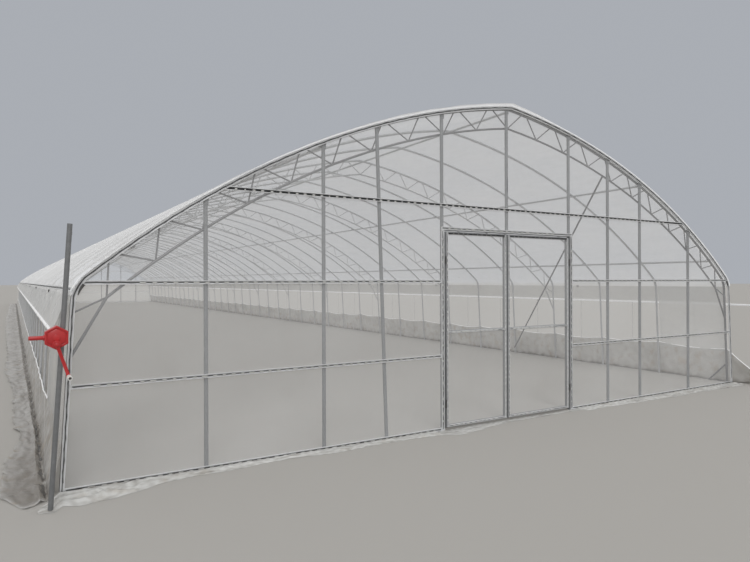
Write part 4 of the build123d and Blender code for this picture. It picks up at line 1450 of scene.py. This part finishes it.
# %% Skirts with their rolled top edge
def top_roll(side, word):
    """A thin roll along the top of the skirt."""
    first = 0.102 if side < 0 else 0.0

    def where(u, v):
        u = first + (1 - first) * u
        d = skirt_place(side, u, 0.0)
        x, y, z = skirt_point(side)(u, 0.0)
        turn_at = 2 * math.pi * v
        thick = 0.0036 + ripple(d * 9, 3, side) * 0.0016
        return x + side * (0.002 + thick * math.cos(turn_at)), y, z + thick * math.sin(turn_at)
    obj = sheet(word + "_skirt_roll", 520, 6, where)
    with edit_mode(obj):
        bpy.ops.mesh.select_all(action="SELECT")
        bpy.ops.mesh.remove_doubles(threshold=0.00002)
        bpy.ops.mesh.normals_make_consistent(inside=False)
    return place(obj, "frame", "milky_film", rolled_finish)


for side, word in WORDS.items():
    skirt = sheet(word + "_skirt_sheet", 900, 30, skirt_point(side), skirt_soil_and_shade(side))
    place(skirt, "frame", "milky_film", skirt_finish, word + "_skirt")
    top_roll(side, word)

# %% Fixed corner sheets behind the front wall
for side, word, bays_long in ((-1, "left", 2), (1, "right", 1)):
    run = BAY * bays_long - 0.016
    skirt_top = 0.165 if side < 0 else 0.240
    low_s = ROOF_LONG + BEND_LONG + (LEG_TOP - skirt_top) / math.cos(LEAN)

    def corner_point(u, v, side=side, run=run, low_s=low_s):
        y = Y_FRONT + run * u
        s = FILM_END + (low_s - FILM_END) * v
        lift = 0.004 * (math.sin(math.pi * v) + ripple(y * 10, v * 3, side))
        out_by = 0.0020 + mid_bay(y - Y_FRONT) * lift
        x, z = rib(s, max(0.0016, out_by))
        return side * x, y, z
    corner = sheet(word + "_corner_sheet", 30 * bays_long, 30, corner_point)
    replaced = ("corner_films",) if side < 0 else ()
    place(corner, "frame", "milky_film", side_finish, *replaced)
print("corner sheets placed")

# %% Hem of film on the ground at the front
flap_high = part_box("ground_flap")[1]
HEM_LEFT = -2.402
HEM_WIDE = ((-2.402, 0.030), (-2.352, 0.150), (-2.279, 0.172), (-2.13, 0.142), (-2.00, 0.092), (-1.88, 0.060),
            (-0.72, 0.052), (-0.60, 0.075), (-0.47, 0.125), (-0.30, 0.088), (-0.08, 0.048), (0.60, 0.070),
            (1.20, 0.090), (2.00, 0.096), (2.40, 0.110))


def hem_x(u):
    """How far along the front a place of the hem is. Steps are finer on the left."""
    return HEM_LEFT + (flap_high.x - HEM_LEFT) * (0.75 * u + 0.25 * u * u)


def hem_point(u, v):
    """The hem: a rucked strip of uneven width, flat where the door leaves pass over it."""
    x = hem_x(u)
    beyond = max(0.0, (-HALF - x) / (-HALF - HEM_LEFT))
    back = RAIL_FRONT - 0.0006 - 0.165 * beyond
    wide = reading(HEM_WIDE, x) + ripple(x * 3.1, 7, 0) * 0.022 + ripple(x * 14, 8, 0) * 0.014
    if -0.06 < x < 0.56:
        wide = min(wide, 0.042)
    y = back - max(0.012, wide) * v
    heavy = 1 + 0.9 * bell(x, -2.20, 0.18)
    ruck = abs(ripple(x * 11, v * 2.4, 3)) * 0.010 + abs(ripple(x * 34, v * 5, 5)) * 0.005
    folds = abs(ripple(x * 4 + y * 9, y * 22, 8)) * 0.012
    limit = 0.22 if abs(x) < 0.56 else 1.0
    arched = math.sin(math.pi * min(1, v * 1.02 + 0.04))
    z = 0.001 + limit * (heavy * (ruck + folds) * arched + 0.006 * (1 - v) ** 4)
    before = (Y_FRONT - 0.196 - y) / 0.02
    if before > 0:
        z = 0.0012 + (z - 0.0012) * (1 - min(1.0, before) * bell(x, -2.363, 0.030))
    return x, y, z


def hem_soil_and_shade(u, v):
    """Earthy spots, and black painted shade along the foot of the wall."""
    x = hem_x(u)
    spots = ripple(x * 7, v * 3, 11)
    fine = ripple(x * 40, v * 6, 12)
    # The band at v = 0 against the wall goes black: painted shade.
    return 0.14 + 0.55 * max(0.0, spots) + 0.34 * fine + (0.5 + 1.2 * fine) * bell(v, 0, 0.05)


hem = sheet("front_ground_hem", 820, 18, hem_point, hem_soil_and_shade)
place(hem, "frame", "milky_film", hem_finish, "ground_flap")

# %% Clips on the eave and the clamp at the front corner
clip_at = rib(FILM_END, 0.0105)
FIRST_CLIP = 1.43
clips = []
for side in WORDS:
    x, z = side * clip_at[0], clip_at[1]
    for k in range(10):
        y = Y_FRONT + FIRST_CLIP + k * 4 * BAY
        clips.append(block((x - 0.005, y - 0.013, z - 0.010), (x + 0.005, y + 0.013, z + 0.006),
                           bevel=0.0015))
for side in WORDS:
    for k in range(4):
        inward = -0.0215 - 0.004 * ripple(k * 1.7, side, 1)
        x0, z0 = rib(ROOF_LONG + BEND_LONG * (0.30 + 0.10 * k), inward)
        x1, z1 = rib(ROOF_LONG + BEND_LONG * (0.44 + 0.10 * k), -0.0205)
        wide = 0.0054 - 0.0011 * k + 0.0012 * ripple(k * 2.3, side, 1)
        clips.append(rod((side * x0, RAIL_FRONT - 0.001, z0), (side * x1, RAIL_FRONT - 0.001, z1), wide, 6))
finished(clips, "eave_clips", "frame", "dark_steel", dark_steel)
print("clips:", len(clips))

# %% [markdown]
# ## Straps over the roof
# White bands go over the film midway between the hoops and are pegged at the sides.
# They keep the film from flapping, and press it down a little.

# %% Straps
STRAP_WIDE = 0.009
ROOF_SHARE = 0.86
TO_ROLL = 0.2


def strap_sheet(y):
    """A band over the roof, down past the roll and on to the ground on both sides."""
    half_roof = ROOF_LONG + BEND_LONG * 0.60
    drop_x, drop_z = ROLL_X + ROLL_R + 0.004, ROLL_Z + 0.004

    def where(u, v):
        t = (u - 0.5) * 2
        side = -1 if t < 0 else 1
        t = abs(t)
        if t <= ROOF_SHARE:
            x, z = rib(half_roof * t / ROOF_SHARE, 0.0022)
        else:
            k = (t - ROOF_SHARE) / (1 - ROOF_SHARE)
            x0, z0 = rib(half_roof, 0.0118)
            if k < TO_ROLL:
                q = k / TO_ROLL
                x, z = x0 + (drop_x - x0) * q, z0 + (drop_z - z0) * q
            else:
                q = (k - TO_ROLL) / (1 - TO_ROLL)
                x, z = drop_x + 0.004 * q, drop_z * (1 - q) + 0.012 * q
        return side * x, y + (v - 0.5) * STRAP_WIDE, z
    return sheet("strap", 90, 1, where)


straps = [strap_sheet(Y_FRONT + BAY * (i + 0.5)) for i in range(BAYS)]
strap_set = joined(straps, "roof_straps")
add_modifier(strap_set, "SOLIDIFY", thickness=0.0007, offset=0)
place(strap_set, "frame", "milky_film", strap_finish)
print("straps:", len(straps), "faces", len(strap_set.data.polygons))

# %% [markdown]
# ## The two door leaves
# Each leaf is a welded frame of square tube with a middle rail. Film is stretched
# over its front and held by narrow lock channels with dark spring wire, which run
# round the leaf and across the middle rail. Everything here rides on its own leaf.

# %% Leaf frames
LEAF_RAIL = 0.525
LEAF_CHANNEL = 0.0095
LEAF_WAVE = 0.064
LEAF_SINK = 0.0036
WELD_R = 0.0018


def leaf(word):
    """The welded frame of a leaf: five square tubes, with a small bead in each corner."""
    low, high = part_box(word + "_door_frame")
    tube = high.y - low.y
    inside = low.x + tube, high.x - tube
    mid_low, mid_high = LEAF_RAIL - tube / 2, LEAF_RAIL + tube / 2
    bars = [block((x0, low.y, z0), (x1, high.y, z1), bevel=0.0022) for x0, x1, z0, z1 in (
        (low.x, inside[0], low.z, high.z), (inside[1], high.x, low.z, high.z),
        (*inside, high.z - tube, high.z), (*inside, low.z, low.z + tube), (*inside, mid_low, mid_high))]
    for x in inside:
        for z in (low.z + tube, mid_low, mid_high, high.z - tube):
            bars.append(rod((x, low.y + 0.002, z), (x, high.y - 0.002, z), WELD_R, 6))
    finished(bars, word + "_leaf_tubes", word + "_door", "galvanised", wall_steel, word + "_door_frame")


def leaf_sheet(word):
    """The film of a leaf, tight at its edges and over the middle rail."""
    box_low, box_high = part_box(word + "_door_film")
    y = middle_y(word + "_door_film")

    def where(u, v):
        x = box_low.x + (box_high.x - box_low.x) * u
        z = box_low.z + (box_high.z - box_low.z) * v
        from_bars = min(abs(z - LEAF_RAIL), z - box_low.z, box_high.z - z)
        edge = min(1, min(u, 1 - u) * 8) * min(1, from_bars / 0.05)
        bulge = ripple(x * 6, 3, z * 4) * 0.0035 + ripple(x * 20, 5, z * 5) * 0.0012
        return x, y + bulge * max(0, edge), z
    film = sheet(word + "_leaf_sheet", 22, 52, where)
    place(film, word + "_door", "clear_film", front_finish, word + "_door_film")


def leaf_channels(word):
    """The narrow channels of a leaf: two stiles, then the bottom, middle and top runs."""
    low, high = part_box(word + "_door_channel")
    deep = high.y - low.y
    y = low.y + deep / 2
    half = LEAF_CHANNEL / 2
    runs = parts, wires, folds = [], [], []

    def run(a, b, shade, fold_long, ledge=0.0007, lip=LIP):
        a, b = Vector(a), Vector(b)
        along = (b - a).normalized()
        bar = channel_bar(a, b, low.y, high.y, LEAF_CHANNEL)
        parts.append(trough(bar, (0, -1, 0), LEAF_SINK, shade, ledge, lip))
        forward = Vector((0, deep / 2 - 0.002, 0))
        start, stop = a + along * 0.004 - forward, b - along * 0.004 - forward
        wires.append(zigzag(start, stop, 0.0010, (0, -1, 0), 0.0012, LEAF_WAVE))
        size = (0.0048, 0.0036, fold_long) if abs(along.z) > 0.5 else (fold_long, 0.0036, 0.0048)
        folds.append(pinches(start, stop, size, LEAF_WAVE))

    # Each run gets its own amount of painted shade in its groove; the top rail's groove fills almost its
    # whole face, so it reads as a dark band of painted shade.
    for x in (low.x + half, high.x - half):
        meeting = word == "left" and abs(x - high.x) < 0.01
        run((x, y, low.z), (x, y, high.z), 0.45 if meeting else 0.95, 0.010)
    for z, *look in ((low.z + half, 0.50, 0.016), (LEAF_RAIL, 0.15, 0.028),
                     (high.z - half, 1.0, 0.003, 0.0001, 0.0004)):
        run((low.x + LEAF_CHANNEL, y, z), (high.x - LEAF_CHANNEL, y, z), *look)
    channels_placed(*runs, word + "_leaf", word + "_door", word + "_door_channel")


for word in WORDS.values():
    leaf(word)
    leaf_sheet(word)
    leaf_channels(word)
for name in ("left_leaf_hinges", "right_leaf_hinges", "post_hinges"):
    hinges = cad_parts[name].data
    hinges.materials.clear()
    hinges.materials.append(dark_steel)
print("leaves dressed")

# %% [markdown]
# ## Winders, cranks and guide posts
# A winder is a hexagonal gear box on the end of the roll tube. It slides up a guide
# post when the curtain is rolled. A short handle points outward, and a crank below
# the middle turns the gears. All of it is pressed steel in red gloss paint, with a
# white plastic barrel that spins on the crank's pin.

# %% Gear boxes
HEX_FLAT = 0.073
BOSS_R = 0.0138
BOSS_BORE = 0.0066
BOSS_LONG = 0.010
SCREW_CIRCLE = 0.035
CRANK_DROP = 0.023
CRANK_LONG = 0.117
CRANK_SECTION = (0.0112, 0.0066)
CRANK_ANGLE = math.radians(18)
MACHINED = 35


def stepped_front(obj, *steps):
    """Sets the front face in by a rim and pushes it back by a depth, once for each step."""
    with edit_mode(obj):
        pick(obj, lambda f: f.normal.y < -0.9)
        for rim, depth in steps:
            bpy.ops.mesh.inset(thickness=rim)
            drawn((0, depth, 0))
    return obj


def winder(side):
    """The gear box: a hexagon with screws, a cap, the crank's boss and a side handle."""
    word = WORDS[side]
    low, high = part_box(word + "_winder_box")
    hub_x = side * ROLL_X
    box_front = low.y + BOSS_LONG
    mid_y = (box_front + high.y) / 2
    hexagon = turned(6, HEX_FLAT / 2 / math.cos(math.pi / 6), hub_x, mid_y, ROLL_Z, high.y - box_front)
    parts = [bevelled(stepped_front(hexagon, (0.006, 0.0022), (0.004, -0.0022)), 0.0016)]
    for k in range(6):
        a = math.pi / 6 + k * math.pi / 3
        x, z = hub_x + math.cos(a) * SCREW_CIRCLE, ROLL_Z + math.sin(a) * SCREW_CIRCLE
        parts.append(rod((x, box_front + 0.002, z), (x, box_front - 0.0016, z), 0.0024, 6))
    cap = rod((hub_x, box_front + 0.001, ROLL_Z), (hub_x, box_front - 0.0034, ROLL_Z), 0.0115, 24)
    crank_z = ROLL_Z - CRANK_DROP
    boss = turned(24, BOSS_R, hub_x, box_front - 0.0047, crank_z, BOSS_LONG)
    parts += [bevelled(cap, 0.001), bevelled(stepped_front(boss, (BOSS_R - BOSS_BORE, 0.0085)), 0.0008)]
    stub_out = low.x if side < 0 else high.x
    for x_in, x_out, radius in ((hub_x + side * 0.030, stub_out, 0.0072),
                                (hub_x + side * 0.034, hub_x + side * 0.041, 0.0096)):
        parts.append(bevelled(rod((x_in, mid_y, ROLL_Z), (x_out, mid_y, ROLL_Z), radius, 16), 0.0010))
    finished(parts, word + "_gear_box", "frame", "red_paint", red, word + "_winder_box", angle=MACHINED)
    return Vector((hub_x, low.y - 0.005, crank_z))


def crank(side, hub):
    """The crank: a pressed bar between two eyes, its shaft and pin, and the barrel on the pin."""
    word = WORDS[side]
    body = word + "_crank"
    low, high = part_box(body)
    tip = hub - Vector((side * CRANK_LONG * math.sin(CRANK_ANGLE), 0, CRANK_LONG * math.cos(CRANK_ANGLE)))
    run = tip - hub
    nothing_selected()
    bpy.ops.mesh.primitive_cube_add(size=1, location=(hub + tip) / 2,
                                    rotation=(0, math.atan2(run.x, run.z), 0))
    bar = bpy.context.object
    bar.scale = (*CRANK_SECTION, run.length)
    parts = [bevelled(stepped_front(settle(bar), (0.0022, 0.0016)), 0.0012)]
    for at, back, front, radius, sides in ((hub, 0.004, -0.004, 0.0088, 24), (tip, 0.004, -0.004, 0.0084, 24),
                                           (hub, -0.0036, -0.0078, 0.0058, 6)):
        eye = rod(at + Vector((0, back, 0)), at + Vector((0, front, 0)), radius, sides)
        parts.append(bevelled(eye, 0.0008))
    parts.append(rod(hub + Vector((0, 0.003, 0)), (hub.x, high.y, hub.z), 0.0059, 20))
    parts.append(rod(tip, (tip.x, low.y, tip.z), 0.0036, 12))
    finished(parts, word + "_crank_arm", body, "red_paint", red, body, angle=MACHINED)
    grip_low, grip_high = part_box(word + "_grip")
    grip_long = grip_high.y - grip_low.y
    barrel = turned(20, 0.0080, tip.x, middle_y(word + "_grip"), tip.z, grip_long)
    stepped_front(barrel, (0.0028, 0.012))
    with edit_mode(barrel):
        pick(barrel, lambda e: edge_run(e) > 0.04, edges=True)
        bpy.ops.mesh.subdivide(number_cuts=7)
    for v in barrel.data.vertices:
        out_x, out_z = v.co.x - tip.x, v.co.z - tip.z
        n = math.hypot(out_x, out_z)
        if n > 0.007:
            t = (v.co.y - grip_low.y) / grip_long
            grow = 1 + 0.07 * math.sin(math.pi * t) - (0.10 if t < 0.02 or t > 0.98 else 0)
            v.co.x = tip.x + out_x * grow
            v.co.z = tip.z + out_z * grow
    finished([bevelled(barrel, 0.0009)], word + "_grip_barrel", body, "white_plastic", white_plastic,
             word + "_grip", angle=MACHINED)
    bolt = rod((tip.x, grip_low.y + 0.0115, tip.z), (tip.x, grip_low.y + 0.0070, tip.z), 0.0034, 6)
    finished([bolt], word + "_grip_bolt", body, "dark_steel", dark_steel)


for side in WORDS:
    crank(side, winder(side))
print("winders made")

# %% Guide posts
GUIDE_R = 0.009
GUIDE_LEAN = 0.064


def guide_post(side):
    """A tube that leans in a little, hollow at its top and flat on the floor."""
    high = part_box("guide_posts")[1]
    foot_x = side * (high.x - GUIDE_R)
    top_x = side * (high.x - GUIDE_R - GUIDE_LEAN)
    y = middle_y("guide_posts")
    tube = rod((foot_x, y, 0.0), (top_x, y, high.z - 0.002), GUIDE_R - 0.0002, 20)
    with edit_mode(tube):
        pick(tube, lambda f: f.normal.z > 0.9)
        bpy.ops.mesh.inset(thickness=0.0014)
        drawn((0, 0, -0.040))
    for v in tube.data.vertices:
        if v.co.z < 0.01:
            v.co.z = 0.0
    return tube


finished([guide_post(side) for side in WORDS], "guide_post_tubes", "frame", "galvanised",
         guide_steel, "guide_posts")
print("guide posts stand")
